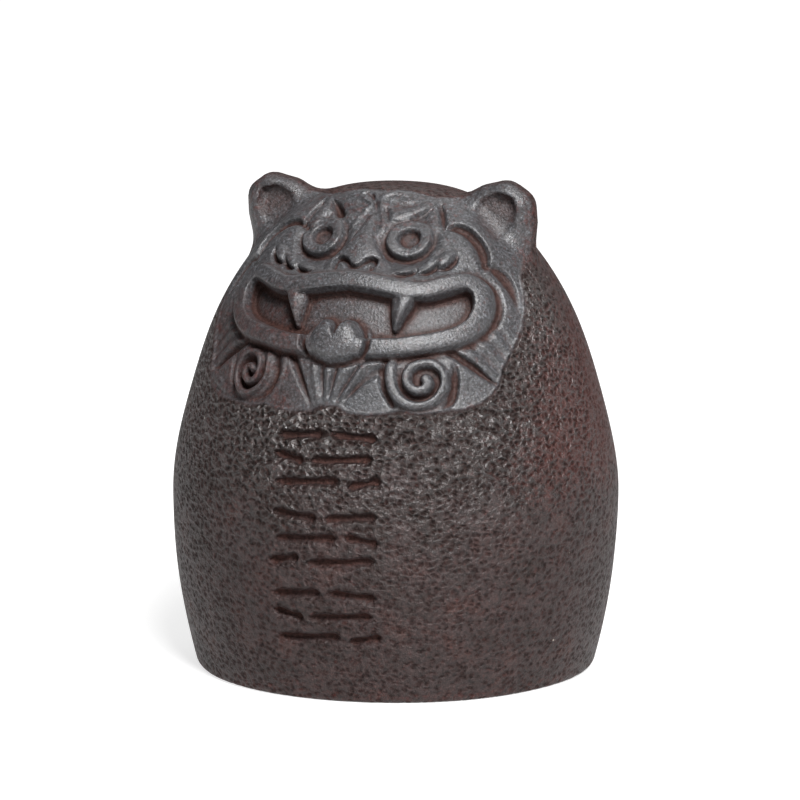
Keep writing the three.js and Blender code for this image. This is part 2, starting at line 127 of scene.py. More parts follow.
def body_distance(p):
    """(r / R)^m + t^n = 1 above the widest ring, with t the eased height, and R - a h^2 below it.

    The value is divided by its slope, which makes it a distance near the surface."""
    r = np.hypot(p[:, 0], p[:, 1])
    up = np.maximum(p[:, 2] - WIDEST_Z, 0)
    span = np.hypot(CROWN_Z - WIDEST_Z, CROWN_EASE) - CROWN_EASE
    t = (np.hypot(up, CROWN_EASE) - CROWN_EASE) / span
    down = np.maximum(WIDEST_Z - p[:, 2], 0) / WIDEST_Z
    foot = (1 - FOOT_INSET * down**2 / BODY_RADIUS) ** CROWN_ROUND
    level = (r / BODY_RADIUS) ** CROWN_ROUND + t**CROWN_RISE - foot
    slope_r = CROWN_ROUND * r ** (CROWN_ROUND - 1) / BODY_RADIUS**CROWN_ROUND
    slope_z = CROWN_RISE * t ** (CROWN_RISE - 1) * up / np.hypot(up, CROWN_EASE) / span
    slope_foot = 2 * CROWN_ROUND * FOOT_INSET * down / BODY_RADIUS / WIDEST_Z
    slope = np.hypot(slope_r, slope_z + slope_foot)
    return np.clip(level / np.maximum(slope, 1e-3), -8, 40)


def ear_side(p):
    """Distance to either side of the middle, less the left ear's lean, which grows with height."""
    lean = LEFT_EAR_LEAN * np.maximum(p[:, 2] - LEFT_EAR_FOOT_Z, 0) * ease(0.0, -12.0, p[:, 0])
    return np.abs(p[:, 0]) - lean


def plate_distance(p, corners, radius, middle):
    """A flat plate across y, grown round on every side by a radius. Both ears share it."""
    flat = polygon_distance(ear_side(p), p[:, 2], corners)
    return np.hypot(np.maximum(flat, 0), p[:, 1] - middle) - radius


def hollow_distance(p):
    """The plate that scoops out an ear, leaning so that it runs out at the ear's foot."""
    outward = HOLLOW_SLOPE[0] * (np.abs(p[:, 0]) - HOLLOW_PLACE[0])
    upward = HOLLOW_SLOPE[1] * (p[:, 2] - HOLLOW_PLACE[1])
    return plate_distance(p, HOLLOW_CORNERS, HOLLOW_RADIUS, HOLLOW_PLACE[2] + outward + upward)


def figure_distance(p):
    """Body and ears run together, less the ears' hollows, above the flat base."""
    x, y, z = p.T
    (wave_x, wave_z), (wave_y, wave_up) = UNEVEN_WAVES
    uneven = UNEVEN_HEIGHTS[0] * np.sin(wave_x * x + 1.3) * np.sin(wave_z * z + 0.4)
    uneven += UNEVEN_HEIGHTS[1] * np.sin(wave_y * y + wave_up * z)
    body = body_distance(p) + uneven
    ears = plate_distance(p, EAR_CORNERS, EAR_RADIUS, EAR_Y)
    whole = soft_min(body, ears, EAR_ROOT)
    scooped = soft_max(whole, -hollow_distance(p), HOLLOW_EDGE)
    return soft_max(scooped, -z, BASE_ROUND)


def slope_of(distance, p):
    """The distance's gradient, by central differences."""
    step = 0.02
    columns = [(distance(p + step * e) - distance(p - step * e)) / (2 * step) for e in np.eye(3)]
    return np.stack(columns, axis=1)


def settle(distance, p, rounds=3):
    """Moves points onto the zero level along the gradient."""
    for _ in range(rounds):
        slope = slope_of(distance, p)
        p = p - distance(p)[:, None] * slope / np.maximum((slope**2).sum(axis=1), 0.05)[:, None]
    return p


def net_over(distance, low, high, cell):
    """A closed net of triangles over the zero level.

    Each grid cell that the level passes through holds one point, the mean of the crossings on its edges,
    and each crossed edge carries two triangles between its four cells."""
    counts = np.ceil((np.asarray(high) - low) / cell).astype(int) + 1
    grid = np.stack(np.meshgrid(*[np.arange(n) for n in counts], indexing="ij"), axis=-1)
    level = distance(grid.reshape(-1, 3) * cell + low).reshape(counts)
    total = np.zeros((level.size, 3))
    number = np.zeros(level.size)
    quads = []
    for axis in range(3):
        one, b, c = np.roll(np.eye(3, dtype=int), -axis, axis=0)
        head = np.take(level, np.arange(counts[axis] - 1), axis)
        tail = np.take(level, np.arange(1, counts[axis]), axis)
        at = np.argwhere((head < 0) != (tail < 0))
        first = head[tuple(at.T)]
        crossing = at + one * (first / (first - tail[tuple(at.T)]))[:, None]
        around = [np.ravel_multi_index((at - k).T, counts) for k in (b + c, c, 0 * b, b)]
        round_edge = np.stack(around, axis=1)
        for column in round_edge.T:
            np.add.at(total, column, crossing)
            np.add.at(number, column, 1)
        quads.append(np.where((first < 0)[:, None], round_edge, round_edge[:, ::-1]))
    used = number > 0
    quads = (np.cumsum(used) - 1)[np.concatenate(quads)]
    points = total[used] / number[used][:, None] * cell + low
    return points, np.concatenate([quads[:, [0, 1, 2]], quads[:, [0, 2, 3]]])


def curve_through(points, closed=False, steps=8):
    """A Catmull-Rom curve through rows of u, v and any further values, as rows of the same kind."""
    p = np.asarray(points, float)
    if closed:
        p = np.concatenate([p[-1:], p, p[:2]])
    else:
        p = np.concatenate([2 * p[:1] - p[1:2], p, 2 * p[-1:] - p[-2:-1]])
    t = np.linspace(0, 1, steps, endpoint=False)[None, :, None]
    a, b, c, d = p[:-3, None], p[1:-2, None], p[2:-1, None], p[3:, None]
    squared = 2 * a - 5 * b + 4 * c - d
    cubed = 3 * b - a - 3 * c + d
    rows = 0.5 * (2 * b + (c - a) * t + squared * t**2 + cubed * t**3)
    rows = rows.reshape(-1, p.shape[1])
    return rows if closed else np.concatenate([rows, p[-2:-1]])


def beside(u, v, path):
    """Distance to a path, the path's further values where it is nearest, and the side, 1 on its left."""
    nearest = np.full(u.shape, 1e9)
    values = np.zeros((path.shape[1] - 2,) + u.shape)
    side = np.zeros(u.shape)
    for start, end in zip(path[:-1], path[1:]):
        along = end[:2] - start[:2]
        length = max(along @ along, 1e-9)
        share = np.clip(((u - start[0]) * along[0] + (v - start[1]) * along[1]) / length, 0, 1)
        du = u - start[0] - share * along[0]
        dv = v - start[1] - share * along[1]
        square = du * du + dv * dv
        closer = square < nearest
        nearest = np.where(closer, square, nearest)
        side = np.where(closer, np.sign(along[0] * dv - along[1] * du), side)
        for k in range(len(values)):
            here = start[2 + k] + share * (end[2 + k] - start[2 + k])
            values[k] = np.where(closer, here, values[k])
    return np.sqrt(nearest), values, side


def rounded(x):
    """A stroke's section that is a parabola: 1 - x^2."""
    return np.maximum(1 - x * x, 0)


def domed(x):
    """A stroke's section that is half an ellipse."""
    return np.sqrt(np.maximum(1 - x * x, 0))


def banded(x):
    """A ribbon: nearly flat to three fifths of the half width, then a steep side."""
    return (1 - ease(0.6, 1.0, np.abs(x))) * (1 - 0.12 * x * x)


def mirrored_loop(points):
    """Half an outline, from one middle point to another, with its other half."""
    return points + [(-row[0],) + tuple(row[1:]) for row in points[-2:0:-1]]


class Drawing:
    """Heights on a flat grid of two lengths, changed by one stroke of the tool after another.

    A stroke works near its path. Its height is the path's height times a section, and the section is a
    function of the distance from the path over the half width there."""

    def __init__(self, left, right, low, high, step=0.1):
        self.low = np.array([left, low])
        self.step = step
        self.counts = (int(round((high - low) / step)) + 1, int(round((right - left) / step)) + 1)
        v, u = np.mgrid[0 : self.counts[0], 0 : self.counts[1]]
        self.u = left + step * u.ravel()
        self.v = low + step * v.ravel()
        self.across = self.u
        self.height = np.zeros(self.u.size)

    def about(self, middle):
        """From here on a stroke is cut on both sides of a middle line."""
        self.across = np.abs(self.u - middle)

    def one_side(self, side, middle):
        """From here on a stroke is cut on one side of a middle line: 1 is right, -1 left."""
        self.across = side * (self.u - middle)

    def alone(self):
        """From here on a stroke is cut once, where it is."""
        self.across = self.u

    def near(self, path, margin):
        """Numbers of the grid's points in a box round a path."""
        low = np.min(path, axis=0)[:2] - margin
        high = np.max(path, axis=0)[:2] + margin
        inside = (self.across > low[0]) & (self.across < high[0])
        inside &= (self.v > low[1]) & (self.v < high[1])
        return np.nonzero(inside)[0]

    def stroke(self, points, closed, reach):
        """The grid's points near a path, and for each its place across the path and the path's height.

        The place across is the distance over the half width, below 0 on the path's right."""
        path = curve_through(points, closed, 6)
        if closed:
            path = np.concatenate([path, path[:1]])
        here = self.near(path, reach * path[:, 2].max() + 0.5)
        distance, (half, high), side = beside(self.across[here], self.v[here], path)
        return here, np.where(side < 0, -1, 1) * distance / np.maximum(half, 0.05), high

    def press(self, points, section=rounded, closed=False, reach=1.0):
        """Rows of u, v, half width and height, added to what is there. A negative height cuts."""
        here, x, high = self.stroke(points, closed, reach)
        self.height[here] += high * section(x)

    def lay(self, points, section=rounded, closed=False, foot=0.0, over=0.2):
        """As press, but the stroke covers what is there where it is higher. It starts from its foot."""
        here, x, high = self.stroke(points, closed, 1.0)
        shape = foot + (high - foot) * section(x) - 4 * np.maximum(np.abs(x) - 1, 0)
        self.height[here] = soft_max(self.height[here], shape, over)

    def blurred(self, spread):
        """The heights under a bell curve of this spread, along one length and then the other."""
        reach = int(np.ceil(2.6 * spread / self.step))
        bell = np.exp(-0.5 * (np.arange(-reach, reach + 1) * self.step / spread) ** 2)
        bell /= bell.sum()
        result = self.height.reshape(self.counts)
        for _ in range(2):
            padded = np.pad(result, ((reach, reach), (0, 0)), mode="edge")
            result = sum(w * padded[k : k + result.shape[0]] for k, w in enumerate(bell)).T
        return result

    def at(self, heights, u, v):
        """Heights at any place, between the four places of the grid round it."""
        x = np.clip((u - self.low[0]) / self.step, 0, self.counts[1] - 1.001)
        y = np.clip((v - self.low[1]) / self.step, 0, self.counts[0] - 1.001)
        i, j = y.astype(int), x.astype(int)
        y, x = y - i, x - j
        lower = heights[i, j] * (1 - x) + heights[i, j + 1] * x
        upper = heights[i + 1, j] * (1 - x) + heights[i + 1, j + 1] * x
        return lower * (1 - y) + upper * y


# Middle lines of the muzzle, the beard and the upper face, which the hand left a little apart
MUZZLE_MIDDLE = 0.6
BEARD_MIDDLE = 0.1
NOSE_MIDDLE = 0.1

# Every stroke below is rows of u, v, half width and height

# Mouth: half of the lip's middle line
LIP = [
    (0.0, 0.3, 1.95, 1.3), (4.8, -0.2, 2.0, 1.35), (7.7, -0.6, 2.05, 1.4), (9.7, -0.7, 2.05, 1.45),
    (11.6, -0.5, 2.0, 1.5), (13.0, -0.05, 2.0, 1.55), (14.6, 0.85, 2.0, 1.6), (16.4, 1.9, 1.95, 1.6),
    (18.1, 2.35, 1.9, 1.6), (19.8, 1.3, 1.9, 1.6), (20.6, -1.0, 1.9, 1.6), (20.5, -3.1, 1.95, 1.6),
    (19.9, -5.1, 2.0, 1.65), (18.3, -7.0, 2.05, 1.7), (16.2, -8.3, 2.1, 1.7), (13.5, -9.45, 2.1, 1.7),
    (9.7, -10.6, 2.1, 1.7), (6.4, -11.05, 2.1, 1.65), (3.0, -11.3, 2.05, 1.6), (0.0, -11.35, 2.05, 1.6),
]

# The crease below the lip: its depth, where it starts, is full and ends, from the lip's middle line, and
# the heights between which it dies out upwards
LIP_CREASE = (0.5, 1.4, 1.9, 3.2)
LIP_CREASE_TOP = (2.0, -3.0)
MOUTH_DEPTH = 1.9
MOUTH_WALL = (1.0, 1.8)

# Tongue: its oval, the depth and half angle of the notch, the top's height, and the power that flattens
# its dome. The gap round it is its floor, then shares of the oval where it starts, is full and ends, and
# the heights between which it dies out upwards
TONGUE_MIDDLE = (0.0, -10.8)
TONGUE_HALF_WIDTH = 4.9
TONGUE_UP = 4.9
TONGUE_DOWN = 3.4
TONGUE_NOTCH = (0.7, np.radians(14))
TONGUE_TOP = 2.4
TONGUE_FLATNESS = 4.5
TONGUE_GAP = (-0.6, 1.0, 1.05, 1.14, 1.24)
TONGUE_GAP_TOP = (-7.0, -9.5)

# Fang: its broad root and the narrower face on it
FANG_ROOT = [(9.3, -0.4, 2.5, 0.7), (8.9, -3.0, 1.9, 0.5), (8.6, -5.3, 1.2, 0.1), (8.4, -7.4, 0.5, -0.6)]
FANG_FACE = [
    (9.9, -0.6, 1.8, 1.2), (9.5, -2.8, 1.35, 1.1), (9.0, -4.9, 0.85, 0.7), (8.6, -6.7, 0.35, 0.0),
]

# Eye: heights at distances from the centre, across pit, ring and socket, and the share of the socket's
# depth above the eye
EYE = (7.5, 9.3)
EYE_PLACES = [0.0, 1.45, 1.85, 2.0, 3.35, 3.6, 3.8, 4.3, 4.8, 5.4]
EYE_HEIGHTS = [-1.1, -0.95, 0.45, 0.65, 0.7, 0.4, -0.9, -1.0, -0.45, 0.0]
SOCKET_ABOVE = 0.35

# Nose: half widths of its back, from the tip up, and the heights there. Its dome is cut short at a share
# of its half width, so that it ends in a small step
NOSE_CUT_SHORT = 0.93
NOSE_BACK = [
    (2.6, 4.3, 0.0), (3.6, 4.5, 0.9), (5.0, 4.4, 1.15), (6.0, 4.0, 1.2), (7.0, 3.0, 1.15),
    (8.4, 2.1, 0.95), (10.0, 1.55, 0.75), (11.5, 1.05, 0.6), (13.2, 0.6, 0.35), (14.2, 0.3, 0.0),
]
NOSE_CREASE = [
    (0.5, 13.4, 0.2, -0.2), (1.0, 11.5, 0.28, -0.35), (1.6, 9.6, 0.3, -0.4), (2.3, 8.0, 0.3, -0.4),
    (3.2, 6.6, 0.3, -0.4), (4.6, 5.5, 0.3, -0.4), (5.6, 4.8, 0.3, -0.3), (6.0, 3.4, 0.3, -0.25),
]
NOSE_WING = [(4.2, 3.2, 1.0, 0.55), (4.4, 4.0, 1.05, 0.65)]
NOSTRIL = [
    (0.0, 3.0, 0.5, -1.2), (0.8, 3.3, 0.5, -1.3), (1.6, 4.1, 0.52, -1.5), (2.3, 4.6, 0.55, -1.5),
    (3.0, 4.5, 0.52, -1.5), (3.35, 3.7, 0.45, -1.3), (3.1, 2.6, 0.35, -0.8),
]

# Brows: the right one's flame with its hollows and the leaf at the temple, the left one's tab, and the
# band and the curls of the forehead
BROW = [
    (2.6, 13.9, 0.9, 0.5), (4.0, 13.85, 1.15, 0.65), (5.4, 14.0, 1.2, 0.7), (6.6, 14.7, 1.1, 0.7),
    (7.6, 15.5, 0.95, 0.65), (8.5, 16.3, 0.75, 0.55), (9.3, 17.0, 0.4, 0.3),
]
BROW_HOLLOW = [
    (1.9, 16.7, 0.7, -0.2), (3.1, 16.2, 1.0, -0.4), (4.6, 15.9, 0.9, -0.4), (6.0, 16.3, 0.6, -0.15),
]
BROW_POCKET = [
    (1.8, 15.1, 0.45, -0.4), (2.2, 14.3, 0.7, -0.8), (2.6, 13.5, 0.65, -0.7), (3.2, 12.7, 0.3, -0.2),
]
BROW_UNDER = [
    (6.5, 13.4, 0.4, -0.15), (7.7, 14.1, 0.7, -0.35), (8.7, 15.1, 0.6, -0.35), (9.3, 16.2, 0.35, -0.2),
]
TEMPLE_LEAF = [
    (9.3, 15.7, 0.6, 0.25), (9.8, 14.1, 1.1, 0.45), (10.5, 12.5, 1.1, 0.45), (11.2, 11.0, 0.5, 0.2),
]
TEMPLE_CUT = [
    (10.2, 16.9, 0.4, -0.5), (10.9, 15.3, 0.6, -1.1), (11.6, 13.7, 0.6, -1.1), (12.1, 12.4, 0.45, -0.8),
    (12.5, 11.1, 0.25, -0.3),
]
LEFT_TAB = [
    (-10.0, 11.7, 0.8, 0.3), (-9.8, 13.0, 1.3, 0.8), (-9.3, 14.6, 1.3, 0.8), (-8.9, 16.0, 0.8, 0.4),
]
LEFT_POCKET = [
    (-8.5, 17.0, 0.4, -0.4), (-7.4, 15.7, 0.8, -1.3), (-6.4, 14.4, 1.0, -1.8), (-5.3, 13.4, 0.6, -0.6),
]
LEFT_BROW = [(-6.3, 12.5, 0.7, 0.3), (-4.5, 12.8, 1.0, 0.55), (-2.6, 13.3, 0.8, 0.4)]
LEFT_SIDE_CUT = [
    (-13.6, 12.8, 0.4, -0.3), (-12.2, 11.8, 0.8, -0.9), (-10.9, 10.9, 0.7, -0.8),
    (-10.2, 10.0, 0.4, -0.3),
]
FOREHEAD_BAND = [
    (3.1, 9.7, 0.35, 0.1), (2.8, 11.0, 0.4, 0.3), (2.1, 12.8, 0.45, 0.35), (1.3, 14.8, 0.45, 0.35),
    (0.7, 16.6, 0.45, 0.4), (0.9, 17.7, 0.45, 0.4), (1.9, 18.3, 0.45, 0.4), (3.4, 18.4, 0.45, 0.35),
    (5.0, 18.1, 0.35, 0.2),
]
FOREHEAD_CUT = [
    (-2.7, 17.9, 0.3, -0.3), (-1.9, 18.1, 0.4, -0.7), (-1.1, 17.5, 0.45, -0.9), (-0.5, 16.4, 0.4, -0.8),
    (0.1, 15.2, 0.35, -0.6), (0.4, 14.0, 0.25, -0.2),
]
FOREHEAD_CURLS = [
    [(-3.6, 17.9, 0.35, 0.25), (-2.6, 17.1, 0.5, 0.35), (-1.6, 16.8, 0.4, 0.2)],
    [(-3.4, 16.5, 0.4, -0.2), (-2.3, 15.9, 0.5, -0.35), (-1.2, 15.7, 0.4, -0.25)],
    [(-4.0, 15.0, 0.4, 0.2), (-2.8, 14.5, 0.5, 0.3), (-1.5, 14.7, 0.4, 0.2)],
]

# Petals under the eyes: at four places along each its width and height, then the cut's offset, half
# width and height; and for each petal u, v, half length, half width and turn in degrees
PETAL_SECTIONS = [
    (0.4, 1.0, 1.0, 0.4), (0.3, 0.75, 0.75, 0.3), (0.6, 1.3, 1.3, 0.7), (0.3, 0.5, 0.5, 0.3),
    (-0.5, -1.0, -1.0, -0.4),
]
CHEEK_MARKS = [(8.6, 3.2, 1.8, 0.85, 22), (11.6, 4.4, 1.8, 0.95, 50), (14.1, 5.9, 2.0, 1.05, 55)]

# Mane: the edges of its two locks and the roll above them, and the fold of the cheek
MANE_UPPER = [
    (12.8, 11.8, 0.5, -0.5), (13.9, 12.5, 0.9, -1.5), (15.5, 12.1, 1.0, -1.8), (17.1, 10.9, 1.0, -1.8),
    (18.5, 9.3, 1.0, -1.8), (19.4, 7.5, 0.9, -1.6), (19.9, 5.5, 0.6, -0.7),
]
MANE_LOWER = [
    (19.9, 6.3, 0.6, -0.6), (21.3, 5.9, 1.0, -1.6), (22.7, 4.7, 1.05, -1.6), (23.9, 3.1, 0.9, -1.2),
    (24.8, 1.2, 0.6, -0.7), (25.5, -0.6, 0.4, -0.2),
]
MANE_ROLL = [
    (13.4, 14.0, 0.6, 0.2), (15.9, 13.6, 0.9, 0.4), (18.3, 12.0, 0.9, 0.4), (20.2, 9.2, 0.9, 0.4),
    (21.0, 7.4, 0.6, 0.2),
]
CHEEK_FOLD = [
    (18.0, 4.9, 0.8, -0.2), (20.2, 3.9, 1.0, -0.5), (22.0, 2.0, 1.1, -0.7), (22.8, -0.6, 1.1, -0.8),
    (22.7, -3.2, 1.0, -0.7), (21.8, -5.6, 0.8, -0.4),
]

# Beard: its outline on one side, from the chin round to the cheek
BEARD = [
    (0.0, -20.9), (1.6, -20.9), (3.0, -21.9), (6.8, -22.0), (9.6, -21.4), (11.6, -20.7), (14.6, -20.9),
    (17.6, -20.0), (20.8, -19.0), (22.8, -17.5), (24.1, -15.9), (24.9, -13.9), (25.1, -10.8),
    (25.9, -7.2), (26.4, -3.6), (26.2, 0.0), (25.4, 3.2), (24.3, 5.8),
]

# The beard's step: its depth, where it is cut, where it comes back up and by how much, and the heights
# between which it dies out upwards
BEARD_STEP = 0.45
BEARD_STEP_CUT = (-0.15, 0.35)
BEARD_STEP_BACK = (1.5, 6.0, 0.8)
BEARD_STEP_TOP = (8.0, 3.0)

# The face's outline above the beard
FACE_TOP = [(23.8, 9.0), (23.9, 14.0), (14.0, 19.5), (9.0, 18.2), (4.0, 19.2), (0.0, 18.8)]

# Curls of ribbon, each with its floor's middle and radius, the cuts beside it and the ridges beyond. The
# floor's depth, the width of its wall and the height of the ribbon's foot are the same for both
CURL_SINK = 0.7
CURL_WALL = 1.2
CURL_FOOT = -0.8
RIGHT_CURL = [
    (9.4, -12.6, 0.85, 0.5), (9.35, -14.8, 1.1, 0.85), (9.75, -16.9, 1.1, 0.9),
    (10.75, -18.6, 1.05, 0.9), (12.3, -19.6, 0.95, 0.9), (14.1, -19.7, 0.85, 0.9),
    (16.0, -18.8, 0.8, 0.9), (17.2, -17.1, 0.8, 0.9), (17.6, -15.2, 0.8, 0.9), (17.1, -13.55, 0.8, 0.9),
    (15.9, -12.6, 0.85, 0.9), (14.4, -12.5, 0.9, 0.9), (12.7, -13.35, 0.9, 0.9), (11.9, -14.8, 0.9, 0.9),
    (12.1, -16.3, 0.9, 0.9), (13.2, -17.2, 0.9, 0.9), (14.6, -17.0, 0.95, 0.9), (15.2, -15.9, 1.0, 0.9),
    (14.8, -15.2, 1.0, 0.9),
]
RIGHT_FLOOR = (14.6, -15.7, 4.4)
RIGHT_CUTS = [
    [(8.1, -12.7, 0.5, -0.6), (7.9, -14.4, 0.6, -0.9), (8.0, -15.9, 0.65, -1.05),
     (8.65, -18.0, 0.65, -1.05), (10.0, -20.1, 0.5, -0.6)],
    [(18.6, -12.2, 0.4, -0.5), (18.8, -13.8, 0.7, -1.1), (18.9, -15.9, 0.8, -1.2),
     (18.6, -18.0, 0.75, -1.1), (17.8, -19.2, 0.4, -0.5)],
]
LEFT_CURL = [
    (12.1, -12.4, 0.5, 0.4), (12.0, -14.4, 0.5, 0.7), (12.1, -16.1, 0.5, 0.75),
    (12.9, -17.6, 0.55, 0.85), (14.3, -18.6, 0.65, 0.9), (16.0, -18.9, 0.65, 0.9),
    (17.4, -18.0, 0.65, 0.9), (18.05, -16.4, 0.62, 0.9), (18.05, -14.6, 0.62, 0.9),
    (17.3, -12.9, 0.65, 0.9), (15.9, -12.0, 0.65, 0.9), (14.4, -12.3, 0.65, 0.9),
    (13.6, -13.6, 0.65, 0.9), (13.6, -15.3, 0.65, 0.9), (14.3, -16.7, 0.7, 0.9), (15.6, -16.9, 0.7, 0.9),
    (16.5, -15.9, 0.7, 0.9), (16.2, -14.6, 0.65, 0.9), (15.2, -14.4, 0.65, 0.9), (14.8, -15.1, 0.65, 0.9),
]
LEFT_FLOOR = (15.6, -15.4, 3.6)
LEFT_CUTS = [
    [(10.5, -12.7, 0.6, -0.7), (10.4, -14.5, 0.8, -1.1), (10.4, -16.2, 0.8, -1.1),
     (11.2, -18.0, 0.7, -1.0), (12.6, -19.4, 0.45, -0.7), (14.4, -19.9, 0.3, -0.3)],
    [(9.1, -13.0, 0.35, 0.3), (8.9, -15.0, 0.4, 0.35), (9.4, -16.8, 0.4, 0.35), (10.4, -18.3, 0.3, 0.2)],
    [(18.9, -11.8, 0.4, -0.4), (19.4, -13.6, 0.6, -0.8), (19.4, -15.8, 0.6, -0.8),
     (18.9, -17.8, 0.5, -0.5)],
    [(25.0, -13.4, 0.5, 0.2), (23.6, -15.2, 0.8, 0.55), (21.8, -17.0, 0.8, 0.55),
     (19.6, -18.6, 0.5, 0.2)],
]

# Fan of blades under the tongue, not quite in the middle
FAN = [
    [(-3.4, -13.5, 0.75, 0.5), (-3.1, -16.4, 0.5, 0.5), (-2.45, -20.0, 0.2, 0.2)],
    [(-0.75, -14.1, 0.85, 0.5), (-0.75, -16.4, 0.55, 0.5), (-0.9, -19.8, 0.2, 0.2)],
    [(2.0, -14.6, 0.9, 0.5), (1.05, -16.8, 0.65, 0.5), (0.2, -20.0, 0.35, 0.2)],
    [(8.0, -13.4, 0.7, 0.5), (5.4, -14.0, 0.6, 0.55), (4.1, -15.9, 0.5, 0.55), (2.9, -18.0, 0.4, 0.45),
     (1.8, -19.7, 0.3, 0.2)],
]
FAN_CUTS = [
    [(-7.9, -12.4, 0.5, -0.8), (-6.9, -14.2, 0.8, -1.2), (-5.6, -16.6, 0.7, -1.2),
     (-4.5, -18.8, 0.5, -0.9), (-3.6, -20.6, 0.3, -0.4)],
    [(-2.1, -14.0, 0.45, -0.8), (-1.9, -16.45, 0.4, -0.8), (-1.5, -19.5, 0.25, -0.4)],
    [(0.5, -14.6, 0.45, -0.8), (0.1, -16.8, 0.35, -0.8), (-0.4, -19.5, 0.25, -0.4)],
    [(3.9, -14.4, 0.45, -0.7), (2.75, -16.45, 0.4, -0.7), (1.5, -18.7, 0.3, -0.7),
     (0.95, -20.0, 0.25, -0.3)],
    [(7.3, -14.75, 0.9, -0.8), (5.2, -16.45, 0.75, -0.8), (3.5, -18.3, 0.55, -0.8),
     (2.4, -19.85, 0.35, -0.3)],
]
WEDGE_CUT = [
    (17.4, -10.0, 0.7, -0.9), (19.4, -10.9, 0.9, -1.6), (21.3, -11.9, 0.8, -1.6),
    (23.0, -13.0, 0.55, -1.2), (24.7, -14.0, 0.25, -0.4),
]
BEARD_FACETS = [
    [(19.2, -8.3, 0.7, -0.2), (21.0, -8.6, 0.9, -0.5), (22.8, -9.9, 0.9, -0.6), (24.9, -11.8, 0.5, -0.3)],
    [(21.4, -6.3, 0.7, -0.2), (22.9, -6.9, 0.9, -0.5), (24.3, -8.3, 0.8, -0.5), (25.8, -10.2, 0.4, -0.2)],
    [(22.9, -3.6, 0.6, -0.2), (24.2, -5.0, 0.8, -0.4), (25.4, -7.0, 0.7, -0.3)],
]

# Inscription: three blocks of shallow strokes down the front, in rows that spell nothing. A row holds
# strokes as middle, length and rise, and a stroke's stations are its share of length, width and depth
BLOCK_TOPS = (44.4, 31.4, 18.4)
ROW_PITCH = 3.7
STROKE_ROWS = [
    [(-4.8, 8.2, 0.6), (5.0, 7.6, -0.6)],
    [(-6.6, 5.2, -1.0), (2.9, 10.4, 0.6)],
    [(-3.0, 11.0, 0.7), (7.0, 5.2, 1.0)],
]
STROKE_STATIONS = [
    (-0.5, 0.5, 0.7), (-0.36, 1.0, 1.0), (0.1, 0.8, 0.9), (0.4, 1.05, 1.0), (0.5, 0.4, 0.5),
]
STROKE_HALF_WIDTH = 0.95
STROKE_DEPTH = 1.1

# Drawings: left, right, low and high, how soft the tool's edges are, and how far a mean reaches
FACE_EXTENT = (-30.0, 30.0, -25.0, 22.0)
FRONT_EXTENT = (-12.0, 12.0, 5.0, 48.0)
FACE_SOFTNESS = 0.13
FRONT_SOFTNESS = 0.12
ROUND_ABOUT = 0.8


def sink_face(face):
    """How far the upper face lies lower, along the face's normal. Lips and mouth stay in place."""
    across = 1 - ease(0.35 * DIP_HALF_WIDTH, DIP_HALF_WIDTH, np.abs(face.u))
    depth = DIP_DEPTH * across * ease(*DIP_LOW, face.v) * (1 - ease(*DIP_HIGH, face.v))
    loop = curve_through(mirrored_loop(LIP), closed=True, steps=4)
    off_lip = polygon_distance(face.u - MUZZLE_MIDDLE, face.v, loop[:, :2])
    return (depth * ease(*DIP_FROM_LIP, off_lip)).reshape(face.counts)


def draw_beard(face):
    """A panel with leaf cuts, a curl on each side and a fan of blades.

    The panel steps down at its edge and comes most of the way back up within 6 mm."""
    face.about(BEARD_MIDDLE)
    panel = BEARD + [(20.0, 9.0), (-9.0, 9.0), (-9.0, -20.9)]
    here = face.near(panel, 2)
    edge = -polygon_distance(face.across[here], face.v[here], panel)
    back_from, back_to, back = BEARD_STEP_BACK
    sunk = ease(*BEARD_STEP_CUT, edge) * (1 - back * ease(back_from, back_to, edge))
    face.height[here] -= BEARD_STEP * sunk * ease(*BEARD_STEP_TOP, face.v[here])
    for stroke in [WEDGE_CUT] + BEARD_FACETS:
        face.press(stroke)
    face.one_side(1, BEARD_MIDDLE)
    draw_curl(face, RIGHT_CURL, RIGHT_FLOOR, RIGHT_CUTS)
    face.one_side(-1, BEARD_MIDDLE)
    draw_curl(face, LEFT_CURL, LEFT_FLOOR, LEFT_CUTS)
    face.alone()
    for stroke in FAN + FAN_CUTS:
        face.press(stroke)


def draw_curl(face, ribbon, floor, cuts):
    """A spiral of ribbon on a sunk disc, with the cuts and ridges beside it."""
    for cut in cuts:
        face.press(cut)
    here = face.near([floor[:2]], floor[2] + 1)
    off = np.hypot(face.across[here] - floor[0], face.v[here] - floor[1])
    face.height[here] -= CURL_SINK * ease(floor[2], floor[2] - CURL_WALL, off)
    face.lay(ribbon, banded, foot=CURL_FOOT)


def draw_nose(face):
    """A rounded back between two creases, wings beside it and one line for both nostrils."""
    face.about(NOSE_MIDDLE)
    places, halves, heights = np.array(NOSE_BACK).T
    here = face.near([(0, places[0]), (halves.max(), places[-1])], 0.5)
    x = face.across[here] / np.interp(face.v[here], places, halves)
    high = np.interp(face.v[here], places, heights, 0, 0)
    face.height[here] += high * domed(NOSE_CUT_SHORT * x) * (x < 1)
    face.press(NOSE_CREASE)
    face.press(NOSE_WING, domed)
    face.press(NOSTRIL)


def draw_eyes(face):
    """A flat ring round a pit, in a socket that is deepest below."""
    face.about(0.0)
    here = face.near([EYE], EYE_PLACES[-1])
    u, v = face.across[here] - EYE[0], face.v[here] - EYE[1]
    distance = np.hypot(u, v)
    height = np.interp(distance, EYE_PLACES, EYE_HEIGHTS)
    low = ease(0.9, -0.5, v / np.maximum(distance, 0.1))
    socket = (height < 0) & (distance > 2.0)
    share = SOCKET_ABOVE + (1 - SOCKET_ABOVE) * low
    face.height[here] += np.where(socket, height * share, height)


